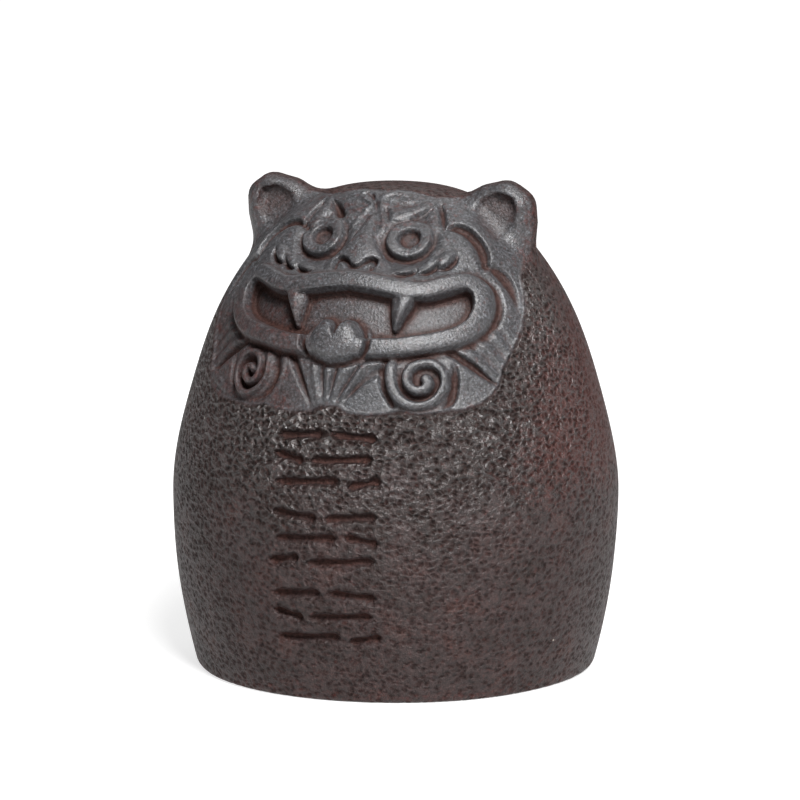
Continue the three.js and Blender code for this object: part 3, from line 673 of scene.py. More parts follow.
def draw_brows(face):
    """A flame brow and a leaf at the temple on the right, a broad tab on the left, and curls between."""
    face.about(0.0)
    face.press(FOREHEAD_BAND)
    face.press(TEMPLE_CUT)
    face.one_side(1, 0.0)
    for stroke in (BROW_HOLLOW, BROW_POCKET, BROW_UNDER, TEMPLE_LEAF):
        face.press(stroke)
    face.press(BROW, domed)
    face.alone()
    for stroke in [LEFT_POCKET, LEFT_BROW, LEFT_SIDE_CUT, FOREHEAD_CUT] + FOREHEAD_CURLS:
        face.press(stroke)
    face.press(LEFT_TAB, domed)


def draw_cheeks(face):
    """Three petals under each eye, each with a cut along its lower side, and the edges of the mane."""
    face.about(0.0)
    for u, v, half_length, half_width, turn in CHEEK_MARKS:
        along = np.array([np.cos(np.radians(turn)), np.sin(np.radians(turn))])
        below = np.array([along[1], -along[0]])
        middle = np.array([u, v])
        places = [middle + s * half_length * along for s in (-1.0, -0.4, 0.4, 1.0)]
        petal = []
        cut = []
        for place, width, height, off, cut_half, cut_height in zip(places, *PETAL_SECTIONS):
            petal.append((*place, width * half_width, height))
            cut.append((*(place + off * half_width * below), cut_half, cut_height))
        face.press(cut)
        face.press(petal, domed)
    for line in (MANE_UPPER, MANE_LOWER, MANE_ROLL):
        face.press(line)
    face.press(CHEEK_FOLD)


def draw_mouth(face):
    """A sunk floor, two fangs, a ribbon of lip all round and a heart-shaped tongue over it."""
    face.about(MUZZLE_MIDDLE)
    loop = curve_through(mirrored_loop(LIP), closed=True, steps=4)
    here = face.near(loop * (loop[:, :1] >= 0), LIP_CREASE[3])
    edge = -polygon_distance(face.across[here], face.v[here], loop[:, :2])
    inside = ease(*MOUTH_WALL, edge)
    face.height[here] = face.height[here] * (1 - inside) - MOUTH_DEPTH * inside
    depth, near, full, gone = LIP_CREASE
    crease = ease(near, full, -edge) * ease(gone, full, -edge) * ease(*LIP_CREASE_TOP, face.v[here])
    face.height[here] -= depth * crease
    face.lay(FANG_ROOT, domed, foot=-MOUTH_DEPTH, over=0.1)
    face.lay(FANG_FACE, banded, foot=-MOUTH_DEPTH, over=0.1)
    face.lay(LIP, banded, foot=-MOUTH_DEPTH, over=0.15)
    face.alone()
    draw_tongue(face)


def draw_tongue(face):
    """A flat dome over an oval whose radius shrinks in a bell curve at the top, the heart's notch.

    A narrow gap parts its lower side from the lip."""
    here = face.near([TONGUE_MIDDLE], TONGUE_HALF_WIDTH + 1)
    u, v = face.u[here] - TONGUE_MIDDLE[0], face.v[here] - TONGUE_MIDDLE[1]
    turn = np.arctan2(u, v)
    depth, width = TONGUE_NOTCH
    tall = np.where(v > 0, TONGUE_UP, TONGUE_DOWN)
    oval = 1 / np.hypot(np.sin(turn) / TONGUE_HALF_WIDTH, np.cos(turn) / tall)
    x = np.hypot(u, v) / (oval * (1 - depth * np.exp(-((turn / width) ** 2))))
    gap_floor, inner, deep_from, deep_to, outer = TONGUE_GAP
    gap = ease(inner, deep_from, x) * ease(outer, deep_to, x) * ease(*TONGUE_GAP_TOP, face.v[here])
    face.height[here] += gap * (gap_floor - face.height[here])
    rise = TONGUE_TOP + MOUTH_DEPTH
    dome = np.sqrt(np.maximum(1 - x**TONGUE_FLATNESS, 0))
    shape = rise * dome - MOUTH_DEPTH - 6 * np.maximum(x - 1, 0)
    face.height[here] = soft_max(face.height[here], shape, 0.15)


def face_drawing():
    """The carved drawing of the face and the beard, in millimetres across and up the face plane."""
    face = Drawing(*FACE_EXTENT)
    draw_beard(face)
    draw_cheeks(face)
    draw_nose(face)
    draw_eyes(face)
    draw_brows(face)
    draw_mouth(face)
    return face


def inscription_drawing():
    """Tapering strokes, by the way round the body and by height."""
    front = Drawing(*FRONT_EXTENT)
    for block, top in enumerate(BLOCK_TOPS):
        for number, row in enumerate(STROKE_ROWS):
            for middle, length, rise in row:
                if block % 2:
                    middle = -middle
                z = top - number * ROW_PITCH
                stroke = []
                for s, w, d in STROKE_STATIONS:
                    half, height = w * STROKE_HALF_WIDTH, -d * STROKE_DEPTH
                    stroke.append((middle + s * length, z + s * rise, half, height))
                front.press(stroke)
    return front


FACE = face_drawing()
FACE_RELIEF = FACE.blurred(FACE_SOFTNESS)
FACE_WIDE = FACE.blurred(ROUND_ABOUT)
FACE_SINK = sink_face(FACE)
FRONT = inscription_drawing()
FRONT_RELIEF = FRONT.blurred(FRONT_SOFTNESS)
FRONT_WIDE = FRONT.blurred(ROUND_ABOUT)


def on_face(p):
    """Where points lie in the face's drawing."""
    return p[:, 0], p[:, 1] * np.sin(FACE_TILT) + (p[:, 2] - FACE_Z) * np.cos(FACE_TILT)


def on_front(p):
    """Where points lie in the inscription's drawing."""
    return BODY_RADIUS * np.arctan2(p[:, 0], -p[:, 1]), p[:, 2]


def facing(p, normal):
    """1 on the side that the face looks to, 0 behind, where no drawing is laid."""
    return ease(0.1, 0.35, normal @ FACE_NORMAL) * (p[:, 1] < DRAWN_IN_FRONT_OF)


def carve(p):
    """Lays the relief on points of the bare skin.

    The mould drew the face off nearly straight, so its heights go along a mean of the face's normal and
    the skin's, and those of the inscription along the skin's."""
    front = np.nonzero(p[:, 1] < DRAWN_IN_FRONT_OF)[0]
    result = p.copy()
    q = p[front]
    normal = slope_of(figure_distance, q)
    normal /= np.linalg.norm(normal, axis=1)[:, None]
    u, v = on_face(q)
    shown = facing(q, normal)
    pressed = FACE_NORMAL * PRESSED_STRAIGHT + normal * (1 - PRESSED_STRAIGHT)
    result[front] = q - (FACE.at(FACE_SINK, u, v) * shown)[:, None] * FACE_NORMAL
    result[front] += (FACE.at(FACE_RELIEF, u, v) * shown)[:, None] * pressed
    result[front] += (FRONT.at(FRONT_RELIEF, *on_front(q)) * shown)[:, None] * normal
    return result


def edges_of(triangles):
    """The edges of a net, each once, and for each triangle the numbers of its three edges."""
    pairs = np.concatenate([triangles[:, [0, 1]], triangles[:, [1, 2]], triangles[:, [2, 0]]])
    pairs = np.sort(pairs, axis=1)
    keys, back = np.unique(pairs[:, 0].astype(np.int64) << 32 | pairs[:, 1], return_inverse=True)
    return np.stack([keys >> 32, keys & 0xFFFFFFFF], axis=1), back.reshape(3, -1).T


def split_marked(triangles, own, new_point):
    """Cuts each triangle at the marked edges: 1 gives two triangles, 2 give three and 3 give four."""
    mid = new_point[own]
    marked = mid >= 0
    number = marked.sum(axis=1)
    pieces = [triangles[number == 0]]
    for turn in range(3):
        order = [turn, (turn + 1) % 3, (turn + 2) % 3]
        a, b, c = triangles[:, order].T
        ab, bc, _ = mid[:, order].T
        m = marked[:, order]
        one = (number == 1) & m[:, 0]
        pieces.append(np.stack([a, ab, c], axis=1)[one])
        pieces.append(np.stack([ab, b, c], axis=1)[one])
        two = (number == 2) & m[:, 0] & m[:, 1]
        pieces.append(np.stack([ab, b, bc], axis=1)[two])
        pieces.append(np.stack([a, ab, bc], axis=1)[two])
        pieces.append(np.stack([a, bc, c], axis=1)[two])
    a, b, c = triangles[number == 3].T
    ab, bc, ca = mid[number == 3].T
    pieces += [np.stack(t, axis=1) for t in ((a, ab, ca), (ab, b, bc), (ca, bc, c), (ab, bc, ca))]
    return np.concatenate(pieces)


# Net: its corners and cells, the rounds of cutting, the least gap that is worth a cut, the most
# triangles, and how many a cut one adds with its neighbours
NET_LOW = np.array([-39.5, -39.5, -1.3])
NET_HIGH = np.array([39.5, 39.5, 84.6])
NET_CELL = 1.15
DRAWN_ROUNDS = 2
CREASE_ROUNDS = 2
SMALLEST_GAP = 0.006
MOST_TRIANGLES = 190000
ADDED_BY_A_CUT = 3.6

# The net is cut fine this far beyond the face's outline, and over this field of the inscription
DRAWN_MARGIN = 0.8
INSCRIBED_HALF_WIDTH = 10.5
INSCRIBED_BELOW = 9.0
INSCRIBED_ABOVE = 2.0


def drawn(p):
    """Whether points lie where the face or the inscription is cut."""
    u, v = on_face(p)
    edge = polygon_distance(np.abs(u), v, BEARD + FACE_TOP)
    way, z = on_front(p)
    inscribed = (z > BLOCK_TOPS[-1] - INSCRIBED_BELOW) & (z < BLOCK_TOPS[0] + INSCRIBED_ABOVE)
    inscribed &= np.abs(way) < INSCRIBED_HALF_WIDTH
    return (p[:, 1] < 0) & ((edge < DRAWN_MARGIN) | inscribed)


def halved(points, triangles, wanted):
    """Cuts the wanted triangles in four, and their neighbours where they share a cut edge."""
    edges, own = edges_of(triangles)
    new_point = np.full(len(edges), -1)
    marked = np.unique(own[wanted])
    new_point[marked] = len(points) + np.arange(len(marked))
    cut = split_marked(triangles, own, new_point)
    middle = (points[edges[marked, 0]] + points[edges[marked, 1]]) / 2
    return np.concatenate([points, settle(figure_distance, middle, 2)]), cut


def gaps(points, triangles):
    """For each triangle how far the carved surface lies off the middle of its edges, at most."""
    edges, own = edges_of(triangles)
    carved = carve(points)
    a, b = edges.T
    middle = settle(figure_distance, (points[a] + points[b]) / 2, 1)
    return np.linalg.norm(carve(middle) - (carved[a] + carved[b]) / 2, axis=1)[own].max(axis=1)


def relaxed(points, triangles):
    """Draws each point halfway to the mean of its neighbours, along the skin."""
    a, b = edges_of(triangles)[0].T
    number = np.bincount(a, minlength=len(points)) + np.bincount(b, minlength=len(points))
    total = np.zeros_like(points)
    for axis in range(3):
        total[:, axis] += np.bincount(a, points[b, axis], len(points))
        total[:, axis] += np.bincount(b, points[a, axis], len(points))
    return settle(figure_distance, (points + total / number[:, None]) / 2, 2)


def refined(points, triangles):
    """Cuts every drawn triangle small, then those furthest off the carved surface smaller still."""
    for _ in range(DRAWN_ROUNDS):
        points, triangles = halved(points, triangles, drawn(points[triangles].mean(axis=1)))
    for number in range(CREASE_ROUNDS):
        gap = gaps(points, triangles)
        room = (MOST_TRIANGLES - len(triangles)) / (CREASE_ROUNDS - number) / ADDED_BY_A_CUT
        limit = max(SMALLEST_GAP, np.sort(gap)[-min(int(room), len(gap))])
        points, triangles = halved(points, triangles, gap > limit)
        points = relaxed(points, triangles)
    return points, triangles


# Wrinkles: how far out from the face they reach, the share of their depth that is left beyond, and the
# distance from the face that the back is taken to have
WRINKLES_REACH = 16.0
WRINKLES_LEAST = 0.3
FAR_OFF = 30.0


def part_of_ear(p):
    """1 on the ears, 0 on the rest of the figure."""
    return ease(12.5, 15.5, np.abs(p[:, 0])) * ease(67.0, 71.0, p[:, 2])


def redness(p, redder_beard):
    """Redder on the beard's left, the ears' rims, the right shoulder, the crown and the foot."""
    ear = part_of_ear(p)
    ear_rim = ear * ease(21.0, 24.5, np.abs(p[:, 0]))
    right_shoulder = ease(23.0, 34.0, p[:, 0]) * ease(24.0, 42.0, p[:, 2]) * ease(74.0, 62.0, p[:, 2])
    crown = ease(70.0, 79.0, p[:, 2]) * (1 - ear)
    foot = ease(3.0, 0.5, p[:, 2])
    return 0.5 * redder_beard + 0.6 * ear_rim + 1.2 * right_shoulder + 0.3 * crown + 0.6 * foot


def wrinkle_depth(p, edge, ear_front, cut):
    """Deepest just outside the face, dying out in a bell curve of the distance from it and to the back.

    They are shallower on the left, the right shoulder and the crown, and gone on burnished clay and in
    the inscription's strokes."""
    near = np.exp(-((np.maximum(edge, 0) / WRINKLES_REACH) ** 2)) * ease(-38.0, -6.0, p[:, 0])
    near *= (1 - 0.3 * ease(25.0, 34.0, p[:, 0])) * ease(2.5, -8.0, p[:, 1])
    depth = (WRINKLES_LEAST + (1 - WRINKLES_LEAST) * near) * ease(-0.1, 0.6, edge)
    depth *= (1 - 0.6 * ease(64.0, 76.0, p[:, 2])) * (1 - ear_front)
    return depth * ease(0.35, 0.1, cut)


def clay_facts(p):
    """What the clay's finish follows, for each point.

    These are how burnished it is, how far it lies below the mean of the carving round it, which sets the
    painted shade in its hollows, how red it fired and how deep its wrinkles are."""
    normal = slope_of(figure_distance, p)
    normal /= np.linalg.norm(normal, axis=1)[:, None]
    u, v = on_face(p)
    edge = np.where(facing(p, normal) > 0.1, polygon_distance(np.abs(u), v, BEARD + FACE_TOP), FAR_OFF)
    ear_front = part_of_ear(p) * ease(0.2, 0.6, -normal[:, 1])
    scooped = ease(0.5, -0.3, hollow_distance(p))
    redder_beard = ease(-1.0, -10.0, u) * ease(2.0, -5.0, v) * ease(0.5, -0.5, edge)
    burnished_face = ease(0.4, -0.2, edge) * (1 - 0.45 * redder_beard)
    # Less burnish in the ears' scoops takes the painted reflection out of them, a painted shade
    burnished_ear = ear_front * (0.9 - 0.35 * scooped)
    relief = FACE.at(FACE_RELIEF, u, v)
    # Below the carving's mean, in the ears' scoops and in the cuts the clay is painted darker, as shade
    below_mean = FACE.at(FACE_WIDE, u, v) - relief + 0.25 * ease(-0.7, -1.5, relief)
    hollow = below_mean * ease(0.3, -0.2, edge) + 0.45 * scooped
    way, z = on_front(p)
    cut = (FRONT.at(FRONT_WIDE, way, z) - FRONT.at(FRONT_RELIEF, way, z)) * (p[:, 1] < 0)
    return {
        "burnished": np.maximum(burnished_face, burnished_ear),
        "hollow": hollow + cut,
        "red": redness(p, redder_beard),
        "grain": wrinkle_depth(p, edge, ear_front, cut),
    }


def mesh_object(name, points, triangles):
    """A mesh piece from points in millimetres, at the origin."""
    mesh = bpy.data.meshes.new(name)
    mesh.vertices.add(len(points))
    mesh.vertices.foreach_set("co", (points * MM).astype(np.float32).ravel())
    mesh.loops.add(triangles.size)
    mesh.loops.foreach_set("vertex_index", triangles.astype(np.int32).ravel())
    mesh.polygons.add(len(triangles))
    mesh.polygons.foreach_set("loop_start", np.arange(0, triangles.size, 3, dtype=np.int32))
    mesh.polygons.foreach_set("use_smooth", np.ones(len(triangles), bool))
    mesh.update(calc_edges=True)
    mesh.validate()
    obj = bpy.data.objects.new(name, mesh)
    bpy.context.scene.collection.objects.link(obj)
    return obj


def store(obj, name, values):
    """Keeps one number for each point of a piece, for its material to read."""
    attribute = obj.data.attributes.new(name, "FLOAT", "POINT")
    attribute.data.foreach_set("value", values.astype(np.float32))


def to_linear(hex_colour):
    """sRGB hex to linear red, green, blue and 1."""
    value = int(hex_colour.lstrip("#"), 16)
    channels = [((value >> shift) & 255) / 255 for shift in (16, 8, 0)]
    return tuple(c / 12.92 if c <= 0.04045 else ((c + 0.055) / 1.055) ** 2.4 for c in channels) + (1.0,)


def add(tree, kind, settings, inputs):
    """Adds a node with its settings, and its inputs by name or number as links or values.

    A Mix node of colours takes them at inputs 6 and 7 and gives its own at output 2."""
    node = tree.nodes.new(kind)
    for name, value in settings.items():
        setattr(node, name, value)
    for name, value in inputs.items():
        if isinstance(value, bpy.types.NodeSocket):
            tree.links.new(value, node.inputs[name])
        else:
            node.inputs[name].default_value = value
    return node


# Fired purple clay, by where it is seen
CLAY_BROWN = "#312625"
CLAY_DARK = "#271d1b"
CLAY_WARM = "#392724"
# The burnished grey paints the satin's reflection into the colour, and the rubbed grey paints glints on
# it
CLAY_BURNISHED_SHEEN_GREY = "#363739"
CLAY_PAINTED_GLINT = "#585a5e"
CLAY_RUST = "#3f1f1b"
# Painted shade in the carving's hollows, the ears' scoops and the inscription's cuts
CLAY_HOLLOW_SHADE = "#35231f"
# Painted shade in the bottoms of the wrinkles and in small pits
CLAY_PIT_SHADE = "#1c1615"
CLAY_GRIT = "#b8aea4"

# Sizes of its patterns in millimetres. The clay's real grains are 0.1 to 0.5 mm: the finest are drawn
# coarser here, so that they show. The wrinkles are as wide as on the real clay
CLOUD_SIZE = 7.0
FLECK_SIZE = 1.3
WRINKLE_SIZE = 1.1
WRINKLE_DRIFT = 1.6
WRINKLE_STRETCH = (0.92, 0.92, 1.3)
PEPPER_SIZE = 0.6
GRAIN_SIZE = 0.4
SPOT_PITCH = 2.4
GRIT_PITCH = 8.0
MOST_RUBBED = 1.3


def cloudy(tree, place, facts):
    """Brown and grey clouds, with painted shade making them darker where the wrinkles are deep."""
    cloud = add(tree, "ShaderNodeTexNoise", {}, {
        "Vector": place, "Scale": 1 / CLOUD_SIZE, "Detail": 5.0, "Roughness": 0.65})
    # Painted shade: the clay darker where the wrinkles are deep
    darker = add(tree, "ShaderNodeMath", {"operation": "MULTIPLY_ADD"}, {
        0: facts["grain"], 1: -0.33, 2: cloud.outputs["Fac"]})
    ramp = add(tree, "ShaderNodeValToRGB", {}, {"Fac": darker.outputs[0]})
    ramp.color_ramp.elements[0].position = 0.22
    ramp.color_ramp.elements[0].color = to_linear(CLAY_DARK)
    ramp.color_ramp.elements[1].position = 0.6
    ramp.color_ramp.elements[1].color = to_linear(CLAY_WARM)
    ramp.color_ramp.elements.new(0.4).color = to_linear(CLAY_BROWN)
    return ramp.outputs["Color"]


def satined(tree, place, facts, colour):
    """A grey where the clay was burnished, which paints its satin reflection into the colour, with
    lighter grains painted on it as glints.
    """
    share = add(tree, "ShaderNodeMath", {"operation": "MULTIPLY"}, {0: facts["burnished"], 1: 0.8})
    # Painted reflection: the burnished clay turns a satin grey
    satin = add(tree, "ShaderNodeMix", {"data_type": "RGBA"}, {
        "Factor": share.outputs[0], 6: colour, 7: to_linear(CLAY_BURNISHED_SHEEN_GREY)})
    grains = add(tree, "ShaderNodeTexNoise", {}, {
        "Vector": place, "Scale": 1 / GRAIN_SIZE, "Detail": 2.0, "Roughness": 0.7})
    # Painted glints: lighter grains on the burnished clay
    painted_glints = add(tree, "ShaderNodeMapRange", {}, {
        "Value": grains.outputs["Fac"],
        "From Min": 0.48, "From Max": 0.72, "To Min": 0.0, "To Max": 0.9})
    painted_glints = add(tree, "ShaderNodeMath", {"operation": "MULTIPLY"}, {
        0: painted_glints.outputs[0], 1: facts["burnished"]})
    return add(tree, "ShaderNodeMix", {"data_type": "RGBA"}, {
        "Factor": painted_glints.outputs[0], 6: satin.outputs[2], 7: to_linear(CLAY_PAINTED_GLINT)}).outputs[2]


def rusted_and_shaded(tree, place, facts, colour):
    """Rust in flecks, closer together where it fired redder, and a dark red painted in the hollows as
    their shade.
    """
    flecks = add(tree, "ShaderNodeTexNoise", {}, {
        "Vector": place, "Scale": 1 / FLECK_SIZE, "Detail": 5.0, "Roughness": 0.75})
    redder = add(tree, "ShaderNodeMath", {"operation": "MULTIPLY_ADD"}, {
        0: facts["red"], 1: 0.2, 2: flecks.outputs["Fac"]})
    rust = add(tree, "ShaderNodeMapRange", {}, {
        "Value": redder.outputs[0], "From Min": 0.57, "From Max": 0.74, "To Min": 0.0, "To Max": 0.7})
    rusty = add(tree, "ShaderNodeMix", {"data_type": "RGBA"}, {
        "Factor": rust.outputs[0], 6: colour, 7: to_linear(CLAY_RUST)})
    # The hollows are painted a dark red as their shade
    sunk = add(tree, "ShaderNodeMath", {"operation": "MULTIPLY_ADD"}, {
        0: flecks.outputs["Fac"], 1: 0.5, 2: facts["hollow"]})
    hollow = add(tree, "ShaderNodeMapRange", {}, {
        "Value": sunk.outputs[0], "From Min": 0.38, "From Max": 0.95, "To Min": 0.0, "To Max": 0.9})
    return add(tree, "ShaderNodeMix", {"data_type": "RGBA"}, {
        "Factor": hollow.outputs[0], 6: rusty.outputs[2], 7: to_linear(CLAY_HOLLOW_SHADE)}).outputs[2]


def speckled_and_shaded(tree, place, facts, wrinkles, colour):
    """Painted shade in the bottoms of wrinkles and in dark spots as small pits, grains of lighter and
    darker clay and a little pale grit.
    """
    # Painted shade: the wrinkles' bottoms darker, more where the wrinkles are deep
    low = add(tree, "ShaderNodeMapRange", {}, {
        "Value": wrinkles, "From Min": 0.1, "From Max": 0.45, "To Min": 0.85, "To Max": 0.0})
    low = add(tree, "ShaderNodeMath", {"operation": "MULTIPLY"}, {0: low.outputs[0], 1: facts["grain"]})
    wrinkled = add(tree, "ShaderNodeMix", {"data_type": "RGBA"}, {
        "Factor": low.outputs[0], 6: colour, 7: to_linear(CLAY_PIT_SHADE)})
    pepper = add(tree, "ShaderNodeTexNoise", {}, {
        "Vector": place, "Scale": 1 / PEPPER_SIZE, "Detail": 2.0, "Roughness": 0.7})
    light = add(tree, "ShaderNodeMapRange", {}, {
        "Value": pepper.outputs["Fac"],
        "From Min": 0.3, "From Max": 0.7, "To Min": 0.45, "To Max": 1.55})
    peppered = add(tree, "ShaderNodeVectorMath", {"operation": "SCALE"}, {
        0: wrinkled.outputs[2], "Scale": light.outputs[0]})
    # Dark spots painted as the shade in small pits
    spots = add(tree, "ShaderNodeTexVoronoi", {}, {"Vector": place, "Scale": 1 / SPOT_PITCH})
    spot = add(tree, "ShaderNodeMapRange", {}, {
        "Value": spots.outputs["Distance"],
        "From Min": 0.06, "From Max": 0.13, "To Min": 0.7, "To Max": 0.0})
    spotted = add(tree, "ShaderNodeMix", {"data_type": "RGBA"}, {
        "Factor": spot.outputs[0], 6: peppered.outputs[0], 7: to_linear(CLAY_PIT_SHADE)})
    grit = add(tree, "ShaderNodeTexVoronoi", {}, {"Vector": place, "Scale": 1 / GRIT_PITCH})
    pale = add(tree, "ShaderNodeMapRange", {}, {
        "Value": grit.outputs["Distance"],
        "From Min": 0.014, "From Max": 0.026, "To Min": 0.6, "To Max": 0.0})
    return add(tree, "ShaderNodeMix", {"data_type": "RGBA"}, {
        "Factor": pale.outputs[0], 6: spotted.outputs[2], 7: to_linear(CLAY_GRIT)}).outputs[2]


def clay_wrinkles(tree, place):
    """0 in the bottoms of shallow pits, rising to the wrinkles between them."""
    drift = add(tree, "ShaderNodeTexNoise", {}, {
        "Vector": place, "Scale": 1 / WRINKLE_DRIFT, "Detail": 2.0})
    shifted = add(tree, "ShaderNodeVectorMath", {"operation": "MULTIPLY_ADD"}, {
        0: drift.outputs["Color"], 1: (WRINKLE_DRIFT, WRINKLE_DRIFT, WRINKLE_DRIFT), 2: place})
    stretched = add(tree, "ShaderNodeMapping", {}, {
        "Vector": shifted.outputs[0], "Scale": WRINKLE_STRETCH})
    pits = add(tree, "ShaderNodeTexVoronoi", {"feature": "SMOOTH_F1"}, {
        "Vector": stretched.outputs[0], "Scale": 1 / WRINKLE_SIZE, "Smoothness": 0.1})
    return pits.outputs["Distance"]


def clay_relief(tree, place, facts, wrinkles):
    """Heights in millimetres: the wrinkles, and a finer grain over all, lower on burnished clay."""
    fine = add(tree, "ShaderNodeTexNoise", {}, {
        "Vector": place, "Scale": 1 / GRAIN_SIZE, "Detail": 2.0, "Roughness": 0.6})
    low = add(tree, "ShaderNodeMapRange", {}, {
        "Value": facts["burnished"], "To Min": 0.3, "To Max": 0.13})
    fine = add(tree, "ShaderNodeMath", {"operation": "MULTIPLY"}, {
        0: fine.outputs["Fac"], 1: low.outputs[0]})
    return add(tree, "ShaderNodeMath", {"operation": "MULTIPLY_ADD"}, {
        0: wrinkles, 1: facts["grain"], 2: fine.outputs[0]}).outputs[0]


def clay_sheen(tree, facts, wrinkles):
    """How rubbed the clay is: most on the wrinkles' tops, well on the face, hardly in its cuts."""
    open_clay = add(tree, "ShaderNodeMapRange", {}, {
        "Value": facts["hollow"], "From Max": 0.7, "To Min": 0.85, "To Max": 0.2})
    face = add(tree, "ShaderNodeMath", {"operation": "MULTIPLY"}, {
        0: facts["burnished"], 1: open_clay.outputs[0]})
    ridge = add(tree, "ShaderNodeMapRange", {}, {
        "Value": wrinkles, "From Min": 0.25, "From Max": 0.6, "To Max": MOST_RUBBED})
    ridge = add(tree, "ShaderNodeMath", {"operation": "MULTIPLY"}, {
        0: ridge.outputs[0], 1: facts["grain"]})
    return add(tree, "ShaderNodeMath", {"operation": "MAXIMUM"}, {
        0: face.outputs[0], 1: ridge.outputs[0]}).outputs[0]


def fired_clay():
    """Purple clay, pressed in a mould and fired dark: its face a burnished satin, the rest wrinkled."""
    material = bpy.data.materials.new("fired_purple_clay")
    material.use_nodes = True
    tree = material.node_tree
    shader = tree.nodes["Principled BSDF"]
    coordinates = add(tree, "ShaderNodeTexCoord", {}, {})
    place = add(tree, "ShaderNodeMapping", {}, {
        "Vector": coordinates.outputs["Object"], "Scale": (1 / MM, 1 / MM, 1 / MM)}).outputs[0]
    facts = {
        name: add(tree, "ShaderNodeAttribute", {"attribute_name": name}, {}).outputs["Fac"]
        for name in ("burnished", "hollow", "red", "grain")
    }
    wrinkles = clay_wrinkles(tree, place)
    colour = cloudy(tree, place, facts)
    colour = satined(tree, place, facts, colour)
    colour = rusted_and_shaded(tree, place, facts, colour)
    colour = speckled_and_shaded(tree, place, facts, wrinkles, colour)
    tree.links.new(colour, shader.inputs["Base Color"])

    rubbed = clay_sheen(tree, facts, wrinkles)
    roughness = add(tree, "ShaderNodeMapRange", {}, {
        "Value": rubbed, "From Max": MOST_RUBBED, "To Min": 0.62, "To Max": 0.35})
    shine = add(tree, "ShaderNodeMapRange", {}, {
        "Value": rubbed, "From Max": MOST_RUBBED, "To Min": 0.06, "To Max": 0.85})
    tree.links.new(roughness.outputs[0], shader.inputs["Roughness"])
    tree.links.new(shine.outputs[0], shader.inputs["Specular IOR Level"])

    height = clay_relief(tree, place, facts, wrinkles)
    bump = add(tree, "ShaderNodeBump", {}, {"Height": height, "Distance": MM, "Strength": 1.0})
    tree.links.new(bump.outputs[0], shader.inputs["Normal"])
    return material


# Floor: half its side, its colour, and its glow at two distances from the figure
FLOOR_HALF_SIDE = 9000.0
FLOOR_COLOUR = "#a8a8a8"
# The dimmer glow near the figure paints a soft shade round the foot
GLOW_NEAR = (80.0, 0.74)
GLOW_FAR = (350.0, 0.98)


def floor():
    """A sheet of white acrylic lit from below, so that it stays white round the dark figure.

    It glows less near the figure, which paints a soft shade on the floor round the foot and lets the
    lamps' soft shadow show there."""
    far = FLOOR_HALF_SIDE
    points = np.array([[-far, -far, 0], [far, -far, 0], [far, far, 0], [-far, far, 0]], float)
    plane = mesh_object("table", points, np.array([[0, 1, 2], [0, 2, 3]]))
    material = bpy.data.materials.new("lit_white_acrylic")
    material.use_nodes = True
    tree = material.node_tree
    shader = tree.nodes["Principled BSDF"]
    shader.inputs["Base Color"].default_value = to_linear(FLOOR_COLOUR)
    shader.inputs["Roughness"].default_value = 0.8
    shader.inputs["Emission Color"].default_value = (1, 1, 1, 1)
    place = add(tree, "ShaderNodeTexCoord", {}, {}).outputs["Object"]
    off = add(tree, "ShaderNodeVectorMath", {"operation": "LENGTH"}, {0: place}).outputs["Value"]
    glow = add(tree, "ShaderNodeMapRange", {}, {
        "Value": off, "From Min": GLOW_NEAR[0] * MM, "From Max": GLOW_FAR[0] * MM,
        "To Min": GLOW_NEAR[1], "To Max": GLOW_FAR[1]})
    tree.links.new(glow.outputs[0], shader.inputs["Emission Strength"])
    plane.data.materials.append(material)


# Camera: the photograph's angle round the figure and above it, in millimetres but for the lens
CAMERA_AZIMUTH = np.radians(18.3)
CAMERA_ELEVATION = np.radians(9.46)
CAMERA_DISTANCE = 700.0
CAMERA_TARGET = np.array([0.706, 0.234, 44.66])
CAMERA_LENS = 185.9


def aim(obj, place, target):
    """Puts an object at a place, looking at a target with its top up."""
    obj.location = Vector(place * MM)
    obj.rotation_euler = Vector((target - place) * MM).to_track_quat("-Z", "Y").to_euler()


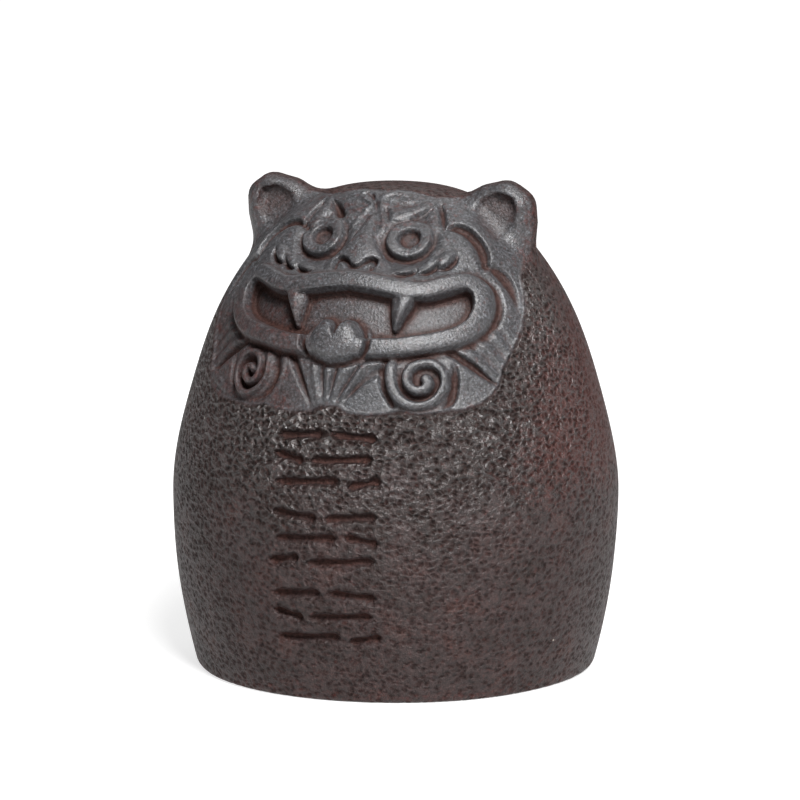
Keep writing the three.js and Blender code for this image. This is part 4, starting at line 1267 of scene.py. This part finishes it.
def camera():
    """Looks at the figure from the photograph's angle, at the same size in the frame."""
    data = bpy.data.cameras.new("camera")
    data.sensor_width = 36.0
    data.lens = CAMERA_LENS
    data.clip_start = 0.01
    obj = bpy.data.objects.new("camera", data)
    bpy.context.scene.collection.objects.link(obj)
    level = np.cos(CAMERA_ELEVATION)
    back = np.array([
        np.sin(CAMERA_AZIMUTH) * level,
        -np.cos(CAMERA_AZIMUTH) * level,
        np.sin(CAMERA_ELEVATION),
    ])
    aim(obj, CAMERA_TARGET + CAMERA_DISTANCE * back, CAMERA_TARGET)
    bpy.context.scene.camera = obj


# Softboxes: name, place, size, watts and spread in degrees
SOFTBOXES = [
    ("overhead_softbox", (100, -200, 1300), (1900, 1900), 1.3, 110),
    ("backdrop_softbox", (0, 1700, 1500), (2600, 2400), 4.0, 70),
    ("key_softbox", (320, -460, 640), (300, 300), 1.3, 50),
]
LIT_POINT = np.array([0.0, 0.0, 45.0])
ROOM_LIGHT = 0.05


def softbox(name, place, size, power, spread):
    """A rectangle of light aimed at the middle of the figure."""
    data = bpy.data.lights.new(name, "AREA")
    data.shape = "RECTANGLE"
    data.size = size[0] * MM
    data.size_y = size[1] * MM
    data.energy = power
    data.spread = np.radians(spread)
    obj = bpy.data.objects.new(name, data)
    bpy.context.scene.collection.objects.link(obj)
    aim(obj, np.array(place, float), LIT_POINT)


def studio():
    """A wide soft light overhead, one behind, a small one at the front right, and a dim room."""
    for settings in SOFTBOXES:
        softbox(*settings)
    world = bpy.data.worlds.new("studio")
    world.use_nodes = True
    world.node_tree.nodes["Background"].inputs["Color"].default_value = (1, 1, 1, 1)
    world.node_tree.nodes["Background"].inputs["Strength"].default_value = ROOM_LIGHT
    bpy.context.scene.world = world
    bpy.context.scene.view_settings.view_transform = "Standard"


def tiger():
    """A net over the bare skin, cut fine where the figure is carved, then carved and given its clay."""
    points, triangles = net_over(figure_distance, NET_LOW, NET_HIGH, NET_CELL)
    points = settle(figure_distance, points, 4)
    points, triangles = refined(points, triangles)
    print("tiger triangles", len(triangles))
    piece = mesh_object("tiger_figure", carve(points), triangles)
    for name, values in clay_facts(points).items():
        store(piece, name, values)
    piece.data.materials.append(fired_clay())
    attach(piece, "root")
    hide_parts("tiger_tea_pet")


camera()
studio()
floor()
tiger()

bpy.context.view_layer.update()
